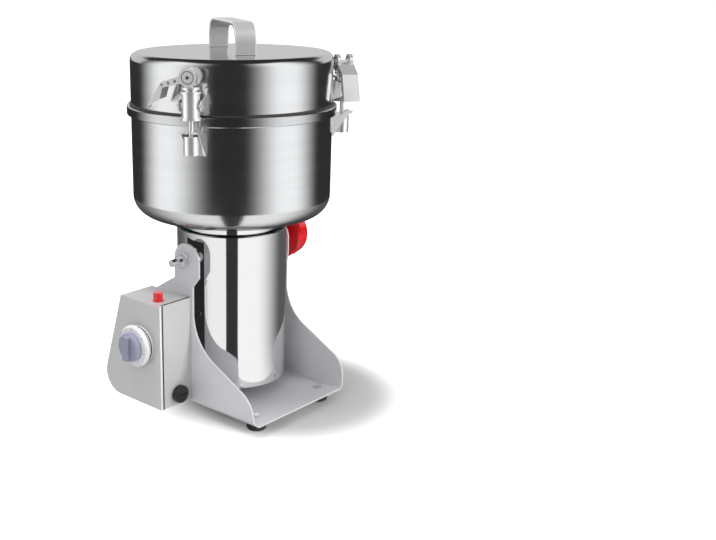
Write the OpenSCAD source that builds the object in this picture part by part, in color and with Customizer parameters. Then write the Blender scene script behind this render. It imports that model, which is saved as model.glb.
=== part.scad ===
// Electric swing grain mill: a closed steel bowl over an upright motor tube,
// hung by two pivots in a bent steel stand with a control box on its left side.
// Millimetres, +Z up, origin on the floor under the axis of bowl and motor,
// -Y is the open front of the stand, -X is the side with the control box.

/* [Bowl] */
// Outer diameter of the bowl and the lid
bowl_d = 220; // [214:1:224]
// Height of the bowl from its underside to its rim
bowl_h = 121; // [112:1:140]
// Thickness of the bowl's steel
bowl_wall = 2; // [1.5:0.1:2.5]
// Outer radius between the bowl's floor and its side
bowl_corner = 22; // [18:1:26]
// Height of the thick band round the bowl's rim
band_h = 10; // [8:0.5:11]
// How far the band stands out from the bowl's side
band_out = 4.5; // [3:0.5:5]

/* [Lid] */
// Height of the lid above its gasket
lid_h = 54; // [50:1:64]
// Thickness of the lid's steel
lid_wall = 1.5; // [1.2:0.1:2]
// Outer radius between the lid's side and its top
lid_corner = 9; // [7:1:12]
// Thickness of the gasket between bowl and lid
gasket_t = 2; // [1.5:0.1:3]
// Width of the gasket's flat ring
gasket_w = 7; // [5:0.5:9]
// Distance between the outer faces of the handle's two legs
handle_span = 115; // [80:1:130]
// Height of the handle above the lid
handle_h = 33; // [28:1:45]
// Width of the handle's strap
handle_w = 22.5; // [18:0.5:28]
// Thickness of the handle's strap
handle_t = 4; // [3:0.5:5]
// Outer radius of the handle's two bends
handle_bend = 20; // [14:1:26]
// Direction of the handle seen from above
handle_angle = 58.5; // [0:0.5:180]

/* [Motor tube] */
// Outer diameter of the motor tube
tube_d = 124; // [120:1:126]
// Length of the motor tube
tube_h = 176; // [172:1:190]
// Thickness of the tube's steel
tube_wall = 1.5; // [1:0.1:2]
// Height of the collar between tube and bowl
collar_h = 15; // [12:1:20]
// Width of the groove between the tube and the collar
groove_w = 4; // [3:0.5:7]
// Height of the rolled lip at the tube's top
lip_h = 2; // [1.5:0.5:3]
// How far the rolled lip stands out
lip_out = 0.8; // [0.5:0.1:1]

/* [Stand] */
// Distance between the tube and each of the stand's cheeks
cheek_gap = 11; // [10:0.5:16]
// Distance from the axis to the stand's front edge
stand_front = 107.5; // [104:0.5:115]
// Distance from the axis to the stand's back edge
stand_back = 90; // [84:1:100]
// Thickness of the stand's steel
sheet_t = 2; // [1.5:0.1:2.5]
// Outer radius of the bend between the stand's floor and its cheeks
sheet_bend = 6; // [4:0.5:8]
// Free height between the stand's floor and the tube
tube_gap = 16; // [14:1:24]
// Distance of the pivot below the top of the tube
pivot_drop = 27; // [26:1:30]
// Radius of the lobe round each pivot
lobe_r = 19; // [17:1:21]
// Forward shift of the lobe's centre
lobe_shift = 3; // [1:0.5:5]

/* [Feet] */
// Height of the rubber feet
foot_h = 12; // [8:1:16]
// Diameter of the rubber feet
foot_d = 22; // [18:1:26]
// Distance of each foot from the middle of the stand
foot_x = 53.5; // [45:0.5:60]
// Distance of the front feet from the axis
foot_front = 88; // [80:1:92]
// Distance of the back feet from the axis
foot_back = 70; // [60:1:76]

/* [Control box] */
// How far the box stands out from the stand
box_w = 46.5; // [44:0.5:52]
// Height of the box
box_h = 120; // [114:1:126]
// Depth of the box's flat top
box_top = 63; // [58:1:68]
// Depth of the box at its widest
box_deep = 92; // [86:1:95]
// Radius of the box's rounded lower back
box_round = 23; // [20:1:28]
// Distance of the box's front face ahead of the axis
box_front = 9; // [7:0.5:11]
// Thickness of the box's steel
box_t = 1.2; // [1:0.1:1.5]
// Width of the flange that the box is screwed on by
flange_w = 10; // [8:0.5:12]

/* [Timer] */
// Distance of the timer's spindle below the box's top
timer_down = 50; // [44:1:56]
// Distance of the timer's spindle behind the axis
timer_y = 23.5; // [18:0.5:26]
// Diameter of the timer's spindle
spindle_d = 6; // [5:0.5:7]
// Diameter of the dial that turns with the knob
dial_d = 47; // [44:1:52]
// Thickness of the dial
dial_t = 5.5; // [4:0.5:7]
// Diameter of the knob
knob_d = 32; // [28:1:36]
// Height of the knob above the dial
knob_h = 7; // [5:0.5:8]
// Height of the knob's finger grip
grip_h = 4; // [3:0.5:6]
// Width of the knob's finger grip
grip_w = 9; // [7:0.5:12]
// Diameter of the collar behind the dial
bezel_d = 42; // [36:1:44]
// Thickness of the collar behind the dial
bezel_t = 6; // [4:0.5:7]
// Side of the timer's square body
timer_side = 44; // [40:1:46]
// Depth of the timer's body
timer_deep = 26; // [20:1:30]

/* [Lamp and fuse] */
// Diameter of the lamp's lens
lamp_d = 12; // [10:0.5:14]
// Height of the lamp's lens
lamp_h = 10; // [8:0.5:12]
// Distance of the lamp from the box's outer side
lamp_in = 14; // [12:1:24]
// Distance of the lamp behind the axis
lamp_y = 8; // [6:1:20]
// Diameter of the fuse cap
fuse_d = 20; // [16:1:21]
// Length of the fuse cap
fuse_h = 5; // [4:0.5:8]
// Height of the fuse above the floor
fuse_z = 31; // [29:1:34]
// Distance of the fuse from the box's outer side
fuse_in = 26; // [22:1:30]
// Length of the fuse holder behind the box's front face
holder_l = 26; // [20:1:27]

/* [Pivots] */
// Diameter of the two pivot studs
stud_d = 8; // [6:1:10]
// Diameter of the bosses on the tube
boss_d = 22; // [20:1:26]
// Thickness of the bushes' flanges
bush_flange = 1; // [0.8:0.1:1.5]
// Diameter of the bushes where they sit in the cheeks
bush_d = 14; // [13:0.5:16]
// Diameter of the locking knob beside the stand
lock_d = 61; // [54:1:64]
// Diameter of the locking knob at its outer end
lock_end_d = 54; // [46:1:56]
// Thickness of the locking knob's head
lock_h = 23; // [20:1:28]
// Length of the locking knob's neck
neck_l = 10; // [8:1:14]
// Diameter of the locking knob's neck
neck_d = 26; // [20:1:30]
// Number of the locking knob's grip lobes
lock_lobes = 6; // [5:1:8]

/* [Clamps] */
// Direction of the first clamp round the axis
clamp_turn = 204.9; // [195:0.1:210]
// Distance of the clamp rods from the bowl's side
rod_out = 16; // [15.5:0.5:18]
// Diameter of the clamp rods
rod_d = 5; // [4:0.5:5.5]
// Diameter of the rods' round lower heads
head_d = 16; // [15:0.5:17]
// Height of the rods' round lower heads
head_h = 19; // [14:1:20]
// Diameter of the barrels' end flanges
barrel_d = 21; // [19:0.2:22]
// Height of the barrels
barrel_h = 28; // [25:1:29]
// Distance of the barrels' trunnions above the bowl's rim
trunnion_up = 13.5; // [13:0.5:15]
// Diameter of the trunnions
trunnion_d = 4.2; // [3.6:0.2:5]
// Height of the levers' pins above the trunnions
pin_up = 27.8; // [27:0.1:30]
// Diameter of the levers' pins
pin_d = 7; // [6:0.5:7.5]
// Diameter of the levers' round cheeks
cam_d = 18.5; // [17:0.5:19]
// Width of the levers across both cheeks
lever_w = 18; // [16:0.5:18.5]
// Length of the levers' necks
lever_neck = 28; // [24:1:32]
// Length of the levers' paddles
lever_paddle = 28; // [22:1:32]
// Height of the catches' hooks above the rods' heads
hook_t = 2; // [1.5:0.1:2.5]
// Width of the catches on the bowl
catch_w = 20.6; // [20:0.2:24]

/* [Motor] */
// Diameter of the motor shaft
shaft_d = 12; // [10:0.5:14]
// Length of the iron core
core_h = 55; // [45:1:60]
// Height of the iron core above the tube's lower end
core_up = 65; // [62:1:68]
// Share of the tube's bore that the turning armature fills
armature_share = 0.504; // [0.48:0.002:0.53]
// Gap between the armature and the poles
air_gap = 0.6; // [0.4:0.1:1]
// Diameter of the commutator
commutator_d = 34; // [30:1:38]
// Height of the commutator
commutator_h = 18; // [14:1:20]
// Gap between the cooling fan and the tube
fan_room = 8.5; // [6:0.5:15]
// Height of the cooling fan
fan_h = 12; // [8:1:14]
// Outer diameter of the ball bearings
bearing_d = 30; // [28:1:32]
// Height of the ball bearings
bearing_h = 9; // [8:0.5:10]

/* [Blades] */
// Reach of the lower blade from tip to tip
lower_reach = 188; // [160:1:192]
// Reach of the upper blade from tip to tip
upper_reach = 150; // [120:1:170]
// Width of the blades
blade_w = 24; // [18:1:30]
// Thickness of the blades
blade_t = 2.5; // [2:0.1:3]
// Height of the lower blade above the bowl's floor
blade_up = 9; // [8:0.5:12]
// Distance between the two blades
blade_step = 16; // [12:1:24]

/* [Fits] */
// Radial clearance of pieces that turn in each other
run_fit = 0.05; // [0.03:0.01:0.08]
// Radial clearance of pieces that are fixed in each other
fix_fit = 0.05; // [0.02:0.01:0.08]
// Free gap between moving pieces that don't guide each other
free_gap = 0.4; // [0.3:0.05:0.5]

/* [Hidden] */
$fn = 96;
// Facets of the large round walls that small pieces are cut to
fine = 360;

// Overrun of every cut
cut = 1;

// Heights, from the floor up
floor_top = foot_h + sheet_t;
tube_z = floor_top + tube_gap;
tube_top = tube_z + tube_h;
pivot_z = tube_top - pivot_drop;
bowl_z = tube_top + collar_h;
rim_z = bowl_z + bowl_h;
lid_z = rim_z + gasket_t;
lid_top = lid_z + lid_h;

// Radii and half widths
bowl_r = bowl_d / 2;
tube_r = tube_d / 2;
bore_r = tube_r - tube_wall;
cheek_in = tube_r + cheek_gap;
half_w = cheek_in + sheet_t;
seat_r = bore_r - fix_fit;

// Cheek outlines, left and right, as shares: the neck, its curve and the foot's tip
// of the stand's front, and the heights of curve and tip of the pivot's height
slope = 27.2;
arc_steps = 16;
neck_shares = [0.115, 0.193];
curve_shares = [0.526, 0.489];
curve_z_shares = [0.667, 0.69];
reach_shares = [0.953, 1];
tip_shares = [0.311, 0.256];
tip_z_shares = [0.101, 0.162];
step_z = pivot_z * 0.84;
back_z = pivot_z * 0.735;
back_shoulder = stand_back * 0.72;
back_curve = stand_back * 0.34;
lobe_fall = lobe_r * 0.9;

// Foot screws
foot_screw_r = 2.5;
foot_screw_head = 4;
foot_screw_head_h = 2;
foot_screw_end = foot_h * 0.3;
foot_chamfer = foot_d * 0.07;

// Control box: its edges and inner outline
box_x = half_w;
box_side = half_w + box_w;
box_z = foot_h + sheet_bend;
box_roof = box_z + box_h;
box_back = box_deep - box_front;
round_y = box_back - box_round;
round_z = box_z + box_round;
slant_y = box_top - box_front;
// The slanted back cuts this far into the round, so that the two faces cross in one clean line
round_bite = 0.02;
slant_lean = atan2(round_y - slant_y, box_roof - round_z)
  + asin((box_round - round_bite) / norm([round_y - slant_y, box_roof - round_z]));
box_screw_r = 1.5;
box_screw_head = 3.2;
box_screw_head_h = 1.8;
box_screw_l = 6;
box_screw_drop = box_h * 0.3;
box_screw_places = [
  [-box_front + flange_w * 0.6, box_roof - box_h * 0.22],
  [-box_front + flange_w * 0.6, box_z + box_h * 0.35],
  [slant_y + box_screw_drop * tan(slant_lean) - flange_w * 0.52, box_roof - box_screw_drop],
  [round_y, box_z + flange_w * 0.5]
];

// Timer: its height, and the planes that its stack of pieces lies in
timer_z = box_roof - timer_down;
bezel_face = box_side + bezel_t;
dial_back = bezel_face + free_gap;
dial_face = dial_back + dial_t;
timer_face = box_side - box_t;
spindle_r = spindle_d / 2;
timer_neck_r = spindle_d * 0.8;
knob_edge = knob_h * 0.25;
dial_edge = dial_t * 0.4;

// Lamp, fuse, gland and terminals
lamp_neck_r = lamp_d * 0.36;
lamp_body_l = lamp_d * 1.8;
lamp_flange_t = lamp_h * 0.15;
lamp_ribs = 10;
fuse_neck_r = fuse_d * 0.3;
fuse_pin_r = fuse_d * 0.2;
fuse_bore_r = fuse_pin_r + run_fit;
fuse_pin_l = holder_l * 0.5;
fuse_rim_t = fuse_h * 0.2;
fuse_ribs = 16;
gland_share = 0.62;
gland_r = 8;
gland_hex_h = 6;
gland_dome_h = 7;
gland_bore_r = 3.5;
gland_neck_r = 6;
gland_nut_h = 4;
block_l = 34;
block_w = 12;
block_h = 14;
block_step = block_l / 4;
block_y = round_y - block_l - flange_w * 0.5;
block_hole_r = 2;

// Pivots: the boss ends where the bush's flange starts
boss_end = cheek_in - bush_flange;
bush_bore_r = stud_d / 2 + run_fit;
stud_r = stud_d / 2;
stud_in = tube_r + tube_wall;
stud_out = 20;
stud_tip = half_w + stud_out;
nut_flats = stud_d * 1.625;
nut_h = stud_d * 0.8;
washer_t = stud_d * 0.2;
washer_r = stud_d;
lock_flute = lock_d * 0.12;
lock_edge = lock_d * 0.08;
lock_rim = lock_edge * 0.5;
lock_head = half_w + neck_l;
lock_stud_l = lock_h * 0.6;
lock_hub_gap = free_gap / 2;

// Collar and end frames
collar_wall = 6;
collar_seat = bore_r - groove_w;
frame_sink = 3;
frame_t = 6;
upper_frame_z = tube_top - frame_sink - frame_t;
post_r = 6;
post_ring = collar_seat * 0.64;
post_hole_z = upper_frame_z + frame_t;
bowl_screw_r = 2.5;
bowl_screw_head = 4.5;
bowl_screw_head_h = 2.5;
bearing_r = bearing_d / 2;
hub_wall = 4;
hub_floor = 2;
hub_r = bearing_r + hub_wall;
shaft_room = 1;
upper_bearing_z = upper_frame_z - bearing_h;
vent_t = 3;
vent_rim = 3;
vent_slot = 4;
vent_count = 14;
lower_frame_z = tube_z + vent_t + vent_rim;
lower_frame_t = 5;
lower_bearing_z = lower_frame_z + hub_floor;
lower_hub_h = bearing_h + hub_floor;
spider_hole = bore_r * 0.2;

// Iron core, coils and armature
core_z = tube_z + core_up;
shaft_r = shaft_d / 2;
armature_r = bore_r * armature_share;
pole_r = armature_r + air_gap;
pole_t = 2;
coil_in = pole_r + pole_t;
coil_out = bore_r * 0.78;
coil_over = 10;
window_half = 42;
slot_count = 12;
slot_r = armature_r * 0.07;
slot_ring = armature_r * 0.87;
winding_h = 10;
winding_gap = 3;
commutator_z = core_z - winding_h - winding_gap - commutator_h;
bar_count = 18;
bar_gap = 0.6;
bar_deep = 1;
brush_w = 12;
brush_h = 10;
brush_room = 1;
brush_gap = 6;
brush_l = bore_r - commutator_d / 2 - brush_gap;
brush_wall = 2;
fan_gap = 6;
fan_z = core_z + core_h + coil_over + fan_gap;
fan_r = bore_r - fan_room;
fan_hub_r = 16;
fan_plate = 2;
fan_blades = 9;
fan_blade_t = 2;

// Seal, blades and nut on the shaft
seal_r = 14;
seal_flange_r = 17;
seal_flange_t = 2.5;
seal_deep = 6;
lower_blade_z = bowl_z + bowl_wall + blade_up;
upper_blade_z = lower_blade_z + blade_step;
spacer_r = 10;
blade_nut_flats = 19;
blade_nut_h = 9;
shaft_over = 3;
shaft_top = upper_blade_z + blade_t + blade_nut_h + shaft_over;
shaft_low = lower_bearing_z + free_gap;
spacer_foot = bowl_z + bowl_wall + seal_flange_t + free_gap;

// Clamps, each in its own frame: x outward, y sideways, origin on the rod
rod_r = bowl_r + rod_out;
rod_half = rod_d / 2;
trunnion_z = rim_z + trunnion_up;
pin_z = trunnion_z + pin_up;
cam_r = cam_d / 2;
barrel_r = barrel_d / 2;
barrel_low = trunnion_z - barrel_h * 0.5;
barrel_top = trunnion_z + barrel_h * 0.5;
flange_t = 2.2;
waist_in = 1.2;
waist_r = barrel_r - waist_in;
pad_top = pin_z - cam_r - free_gap;
pad_r = barrel_r * 0.88;
pad_t = 2.6;
pad_neck_r = barrel_r * 0.6;
head_drop = 16.5;
head_top = rim_z - head_drop;
head_low = head_top - head_h;
head_r = head_d / 2;
ear_gap = 0.6;
ear_in = barrel_r + ear_gap;
ear_t = 1.8;
ear_r = 5.5;
ear_foot = 0.5;
ear_over = 10;
ear_low = lid_z + ear_foot;
ear_high = trunnion_z + ear_over;
trunnion_out = 1;
trunnion_end = ear_in + ear_t + trunnion_out;
plate_t = 2;
hook_end = 1;
prong_out = 10;
prong_rise = 3.5;
prong_lean = atan2(prong_rise, prong_out + hook_end);
catch_t = 1.6;
catch_drop = 3;
catch_low = head_low - catch_drop;
flank_out = 4.5;
cam_room = 10;
cam_t = (lever_w - cam_room) / 2;
neck_angle = -16;
paddle_angle = -54;
neck_half = 2.8;
paddle_half = 3.4;
neck_share = 0.42;
lever_turns = [0, 12, 0];
lever_hole_r = 1.5;
lever_hole_shares = [0.486, 0.739, 0.99];
pin_out = 0.8;
pin_end = lever_w / 2 + pin_out;

// A solid cup outline for turning: flat floor, straight side, rounded corner
module cup_half(r, h, corner) {
  square([r - corner, h]);
  translate([0, corner]) square([r, h - corner]);
  translate([r - corner, corner]) circle(corner);
}

// A shell turned from two cup outlines
module cup(r, h, corner, wall) {
  rotate_extrude() intersection() {
    square([r, h]);
    difference() {
      cup_half(r, h, corner);
      translate([0, wall]) cup_half(r - wall, h, corner - wall);
    }
  }
}

module ring(r_out, r_in, h) {
  difference() {
    cylinder(r = r_out, h = h);
    translate([0, 0, -cut]) cylinder(r = r_in, h = h + 2 * cut);
  }
}

// A cylinder that runs along X from x0 to x1 at the pivot's height
module pivot_rod(r, x0, x1) {
  translate([x0, 0, pivot_z]) rotate([0, 90, 0]) cylinder(r = r, h = x1 - x0);
}

module hexagon(flats, h) {
  cylinder(d = flats / cos(30), h = h, $fn = 6);
}

module both_sides() {
  children();
  mirror([1, 0, 0]) children();
}

module at_feet() {
  for (x = [-foot_x, foot_x], y = [-foot_front, foot_back]) translate([x, y, 0]) children();
}

// Points along an arc from one angle to another
function arc(x, y, r, from, to) = [
  for (i = [0:arc_steps]) [
    x + r * cos(from + (to - from) * i / arc_steps),
    y + r * sin(from + (to - from) * i / arc_steps)
  ]
];

// A cheek's outline in the plane of y and z, left (0) or right (1)
module cheek_outline(side) {
  neck = stand_front * neck_shares[side];
  curve = stand_front * curve_shares[side];
  tip = stand_front * tip_shares[side];
  tip_y = tip - stand_front * reach_shares[side];
  polygon(concat(
    [[-stand_front, foot_h - cut], [-stand_front, foot_h]],
    arc(tip_y, pivot_z * tip_z_shares[side], tip, 180, 90 + slope),
    arc(-neck - curve, pivot_z * curve_z_shares[side], curve, slope - 90, 0),
    [[-neck, step_z], [-lobe_shift - lobe_r, pivot_z - lobe_fall]],
    arc(-lobe_shift, pivot_z, lobe_r, 180, 0),
    [[lobe_r - lobe_shift, step_z + back_curve * 0.2],
     [back_curve + lobe_r - lobe_shift, back_z + back_curve * 0.2],
     [back_shoulder, back_z], [stand_back, pivot_z * 0.24], [stand_back, foot_h - cut]]
  ));
}

// The stand's bent sheet, seen along Y, before its cheeks get their outline
module sheet_section() {
  flat = half_w - sheet_bend;
  bend_z = foot_h + sheet_bend;
  polygon(concat(
    [[-half_w, pivot_z + 2 * lobe_r]], arc(-flat, bend_z, sheet_bend, 180, 270),
    arc(flat, bend_z, sheet_bend, 270, 360), [[half_w, pivot_z + 2 * lobe_r]],
    [[cheek_in, pivot_z + 2 * lobe_r]], arc(flat, bend_z, sheet_bend - sheet_t, 360, 270),
    arc(-flat, bend_z, sheet_bend - sheet_t, 270, 180), [[-cheek_in, pivot_z + 2 * lobe_r]]
  ));
}

// The box as a solid from x0 to x1, drawn in square from all its outer faces
module box_solid(x0, x1, inset) {
  soft = box_round - inset;
  touch_y = round_y + (soft - round_bite) * cos(slant_lean);
  touch_z = round_z + (soft - round_bite) * sin(slant_lean);
  along_x(x0, x1) polygon([
    [inset - box_front, box_z + inset], [inset - box_front, box_roof - inset],
    [touch_y - (box_roof - inset - touch_z) * tan(slant_lean), box_roof - inset],
    [touch_y, touch_z], [round_y, round_z], [round_y, box_z + inset]
  ]);
  translate([x0, round_y, round_z]) rotate([0, 90, 0]) cylinder(r = soft, h = x1 - x0);
}

// Stands an outline of y and z up and pushes it along X from x0 to x1
module along_x(x0, x1) {
  translate([x0, 0, 0]) rotate([90, 0, 90]) linear_extrude(x1 - x0) children();
}

module clamp_at(i) {
  rotate(clamp_turn + i * 120) translate([rod_r, 0, 0]) children();
}

module stand_bracket() color("#b9bbc1") difference() {
  intersection() {
    translate([0, stand_back + cut, 0]) rotate([90, 0, 0])
      linear_extrude(stand_front + stand_back + 2 * cut) sheet_section();
    union() {
      translate([-half_w - cut, -stand_front, foot_h - cut])
        cube([2 * (half_w + cut), stand_front + stand_back, sheet_t + 2 * cut]);
      along_x(-half_w - cut, sheet_bend - half_w) cheek_outline(0);
      along_x(half_w - sheet_bend, half_w + cut) cheek_outline(1);
    }
  }
  pivot_rod(bush_d / 2, -half_w - cut, half_w + cut);
  at_feet() translate([0, 0, foot_h - cut]) cylinder(r = foot_screw_r + fix_fit, h = sheet_t + 2 * cut);
  at_box_screws(-half_w - cut) cylinder(r = box_screw_r + fix_fit, h = sheet_t + 2 * cut);
}

module rubber_feet() color("#1c1c1e") at_feet() difference() {
  union() {
    cylinder(r1 = foot_d / 2 - foot_chamfer, r2 = foot_d / 2, h = foot_chamfer);
    translate([0, 0, foot_chamfer]) cylinder(d = foot_d, h = foot_h - foot_chamfer);
  }
  translate([0, 0, foot_screw_end]) cylinder(r = foot_screw_r + fix_fit, h = foot_h);
}

module foot_screws() color("silver") at_feet() {
  translate([0, 0, foot_screw_end]) cylinder(r = foot_screw_r, h = floor_top - foot_screw_end);
  translate([0, 0, floor_top]) cylinder(r = foot_screw_head, h = foot_screw_head_h);
}

module pivot_bushes() color("#ececec") both_sides() difference() {
  union() {
    pivot_rod(boss_d / 2, boss_end, cheek_in);
    pivot_rod(bush_d / 2, boss_end, half_w);
  }
  pivot_rod(bush_bore_r, boss_end - cut, half_w + cut);
}

// Folded steel box, open toward the cheek, with a flange to screw it on by
module box_shell() color("#c9cacc") mirror([1, 0, 0]) difference() {
  box_solid(box_x, box_side, 0);
  box_solid(box_x + box_t, timer_face, box_t);
  box_solid(box_x - cut, box_x + box_t + cut, flange_w);
  translate([timer_face - cut, timer_y, timer_z]) rotate([0, 90, 0])
    cylinder(r = timer_neck_r + fix_fit, h = box_t + 2 * cut);
  translate([box_side - lamp_in, lamp_y, box_roof - box_t - cut])
    cylinder(r = lamp_neck_r + fix_fit, h = box_t + 2 * cut);
  translate([box_side - fuse_in, box_t + cut - box_front, fuse_z]) rotate([90, 0, 0])
    cylinder(r = fuse_neck_r + fix_fit, h = box_t + 2 * cut);
  at_gland() translate([0, 0, -box_t - cut]) cylinder(r = gland_neck_r + fix_fit, h = box_t + 2 * cut);
  at_box_screws(box_x - cut) cylinder(r = box_screw_r + fix_fit, h = box_t + 2 * cut);
}

module at_box_screws(x) {
  for (p = box_screw_places) translate([x, p[0], p[1]]) rotate([0, 90, 0]) children();
}

module box_screws() color("silver") mirror([1, 0, 0]) {
  at_box_screws(cheek_in - box_screw_head_h) cylinder(r = box_screw_head, h = box_screw_head_h);
  at_box_screws(cheek_in) cylinder(r = box_screw_r, h = box_screw_l);
}

// Places the gland square on the box's slanted back, in the mirrored box frame
module at_gland() {
  drop = (box_roof - round_z) * gland_share;
  translate([box_side - box_w * 0.5, slant_y + drop * tan(slant_lean), box_roof - drop])
    rotate([slant_lean - 90, 0, 0]) children();
}

module cable_gland() color("#202022") mirror([1, 0, 0]) at_gland() difference() {
  union() {
    hexagon(2 * gland_r, gland_hex_h);
    cylinder(r = gland_r * 0.85, h = gland_hex_h + gland_dome_h * 0.5);
    translate([0, 0, gland_hex_h + gland_dome_h * 0.5])
      cylinder(r1 = gland_r * 0.85, r2 = gland_r * 0.6, h = gland_dome_h * 0.5);
    translate([0, 0, -box_t]) cylinder(r = gland_neck_r, h = box_t);
    translate([0, 0, -box_t - gland_nut_h]) hexagon(2 * gland_r, gland_nut_h);
  }
  translate([0, 0, -box_t - gland_nut_h - cut])
    cylinder(r = gland_bore_r, h = gland_nut_h + box_t + gland_hex_h + gland_dome_h + 2 * cut);
}

module terminal_block() color("#e8e4d8") mirror([1, 0, 0]) difference() {
  translate([box_x + box_t, block_y, box_z + box_t])
    cube([block_w + flange_w, block_l, block_h]);
  for (i = [0:3]) translate([
    box_x + flange_w + block_w * 0.6,
    block_y + block_step * (i + 0.5),
    box_z + block_h * 0.5
  ]) cylinder(r = block_hole_r, h = block_h);
}

// Clockwork timer behind the box's outer side, with a neck through it
module timer_body() color("#2b2b2e") mirror([1, 0, 0]) difference() {
  union() {
    translate([timer_face - timer_deep, timer_y - timer_side / 2, timer_z - timer_side / 2])
      cube([timer_deep, timer_side, timer_side]);
    translate([timer_face, timer_y, timer_z]) rotate([0, 90, 0]) cylinder(r = timer_neck_r, h = box_t);
  }
  translate([timer_face - timer_deep * 0.8, timer_y, timer_z]) rotate([0, 90, 0])
    cylinder(r = spindle_r + run_fit, h = timer_deep + box_t);
}

module at_timer(x) {
  translate([-x, timer_y, timer_z]) rotate([0, -90, 0]) children();
}

module timer_bezel() color("#dcdcde") at_timer(box_side) difference() {
  cylinder(r1 = bezel_d / 2, r2 = bezel_d / 2 - bezel_t * 0.3, h = bezel_t);
  translate([0, 0, -cut]) cylinder(r = timer_neck_r, h = bezel_t + 2 * cut);
}

module timer_spindle() color("silver") at_timer(timer_face - timer_deep * 0.8)
  cylinder(r = spindle_r, h = dial_face + knob_h * 0.6 - timer_face + timer_deep * 0.8);

module timer_dial() color("#f2f2f2") at_timer(dial_back) difference() {
  union() {
    cylinder(r = dial_d / 2, h = dial_t - dial_edge);
    translate([0, 0, dial_t - dial_edge])
      cylinder(r1 = dial_d / 2, r2 = dial_d / 2 - dial_edge, h = dial_edge);
  }
  translate([0, 0, -cut]) cylinder(r = spindle_r + fix_fit, h = dial_t + 2 * cut);
}

module timer_knob() color("#8f93ad") at_timer(dial_face) difference() {
  union() {
    cylinder(r = knob_d / 2, h = knob_h - knob_edge);
    translate([0, 0, knob_h - knob_edge])
      cylinder(r1 = knob_d / 2, r2 = knob_d / 2 - knob_edge, h = knob_edge);
    intersection() {
      cylinder(r = knob_d / 2 - knob_edge, h = knob_h + grip_h);
      translate([-knob_d / 2, -grip_w / 2, 0]) cube([knob_d, grip_w, knob_h + grip_h]);
    }
  }
  translate([0, 0, -cut]) cylinder(r = spindle_r + fix_fit, h = knob_h * 0.6 + cut);
}

module at_lamp() {
  translate([lamp_in - box_side, lamp_y, box_roof]) children();
}

module lamp_lens() color("#d3141b") at_lamp() difference() {
  union() {
    cylinder(d = lamp_d, h = lamp_flange_t);
    cylinder(d = lamp_d * 0.88, h = lamp_h);
  }
  for (i = [0:lamp_ribs - 1]) rotate(i * 360 / lamp_ribs) translate([lamp_d * 0.46, 0, lamp_flange_t])
    cylinder(r = lamp_d * 0.07, h = lamp_h);
}

module lamp_body() color("#3a3a3c") at_lamp() {
  translate([0, 0, -box_t]) cylinder(r = lamp_neck_r, h = box_t);
  translate([0, 0, -box_t - lamp_body_l]) cylinder(r = lamp_d * 0.45, h = lamp_body_l);
}

// Runs forward along -Y from the box's front face
module at_fuse() {
  translate([fuse_in - box_side, -box_front, fuse_z]) rotate([90, 0, 0]) children();
}

module fuse_holder() color("#141416") at_fuse() difference() {
  union() {
    translate([0, 0, -holder_l]) cylinder(r = fuse_neck_r * 1.15, h = holder_l - box_t);
    translate([0, 0, -box_t]) cylinder(r = fuse_neck_r, h = box_t);
    cylinder(r = fuse_d * 0.46, h = fuse_rim_t);
  }
  translate([0, 0, -holder_l * 0.8]) cylinder(r = fuse_bore_r, h = holder_l + cut);
}

module fuse_cap() color("#0f0f10") at_fuse() {
  translate([0, 0, -fuse_pin_l]) cylinder(r = fuse_pin_r, h = fuse_pin_l + fuse_rim_t);
  difference() {
    translate([0, 0, fuse_rim_t]) cylinder(d = fuse_d, h = fuse_h);
    for (i = [0:fuse_ribs - 1]) rotate(i * 360 / fuse_ribs)
      translate([fuse_d * 0.515, 0, fuse_rim_t - cut]) cylinder(r = fuse_d * 0.04, h = fuse_h + 2 * cut);
    translate([-fuse_d * 0.3, -fuse_d * 0.04, fuse_rim_t + fuse_h * 0.8])
      cube([fuse_d * 0.6, fuse_d * 0.08, fuse_h]);
  }
}

module lock_knob() color("#e01822") difference() {
  union() {
    pivot_rod(neck_d / 2, half_w + lock_hub_gap, lock_head);
    translate([lock_head, 0, pivot_z]) rotate([0, 90, 0]) {
      cylinder(r1 = lock_d / 2 - lock_rim, r2 = lock_d / 2, h = lock_rim);
      translate([0, 0, lock_rim])
        cylinder(r1 = lock_d / 2, r2 = lock_end_d / 2, h = lock_h - lock_rim - lock_edge);
      translate([0, 0, lock_h - lock_edge])
        cylinder(r1 = lock_end_d / 2, r2 = lock_end_d / 2 - lock_edge, h = lock_edge);
    }
  }
  for (i = [0:lock_lobes - 1]) translate([lock_head - cut, 0, pivot_z]) rotate([0, 90, 0])
    rotate((i + 0.5) * 360 / lock_lobes) translate([lock_d / 2 + lock_flute * 0.6, 0, 0])
      cylinder(r = lock_flute, h = lock_h + 2 * cut);
  pivot_rod(stud_r + fix_fit, half_w - cut, lock_head + lock_stud_l);
}

module lock_stud() color("silver") pivot_rod(stud_r, stud_in, lock_head + lock_stud_l);

module motor_tube() color("#d4d5d7") {
  translate([0, 0, tube_z]) ring(tube_r, bore_r, tube_h - lip_h);
  translate([0, 0, tube_top - lip_h]) ring(tube_r + lip_out, bore_r, lip_h);
}

module pivot_bosses() color("#c2c3c5") both_sides() difference() {
  pivot_rod(boss_d / 2, bore_r, boss_end);
  translate([0, 0, tube_z]) cylinder(r = tube_r + fix_fit, h = tube_h - lip_h, $fn = fine);
  pivot_rod(stud_r + run_fit, bore_r - cut, boss_end + cut);
}

module pivot_stud() color("silver") mirror([1, 0, 0]) pivot_rod(stud_r, stud_in, stud_tip);

module pivot_nut() color("#d8d8da") mirror([1, 0, 0]) difference() {
  union() {
    pivot_rod(washer_r, half_w, half_w + washer_t);
    translate([half_w + washer_t, 0, pivot_z]) rotate([0, 90, 0]) hexagon(nut_flats, nut_h);
  }
  pivot_rod(stud_r + fix_fit, half_w - cut, half_w + washer_t + nut_h + cut);
}

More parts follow.
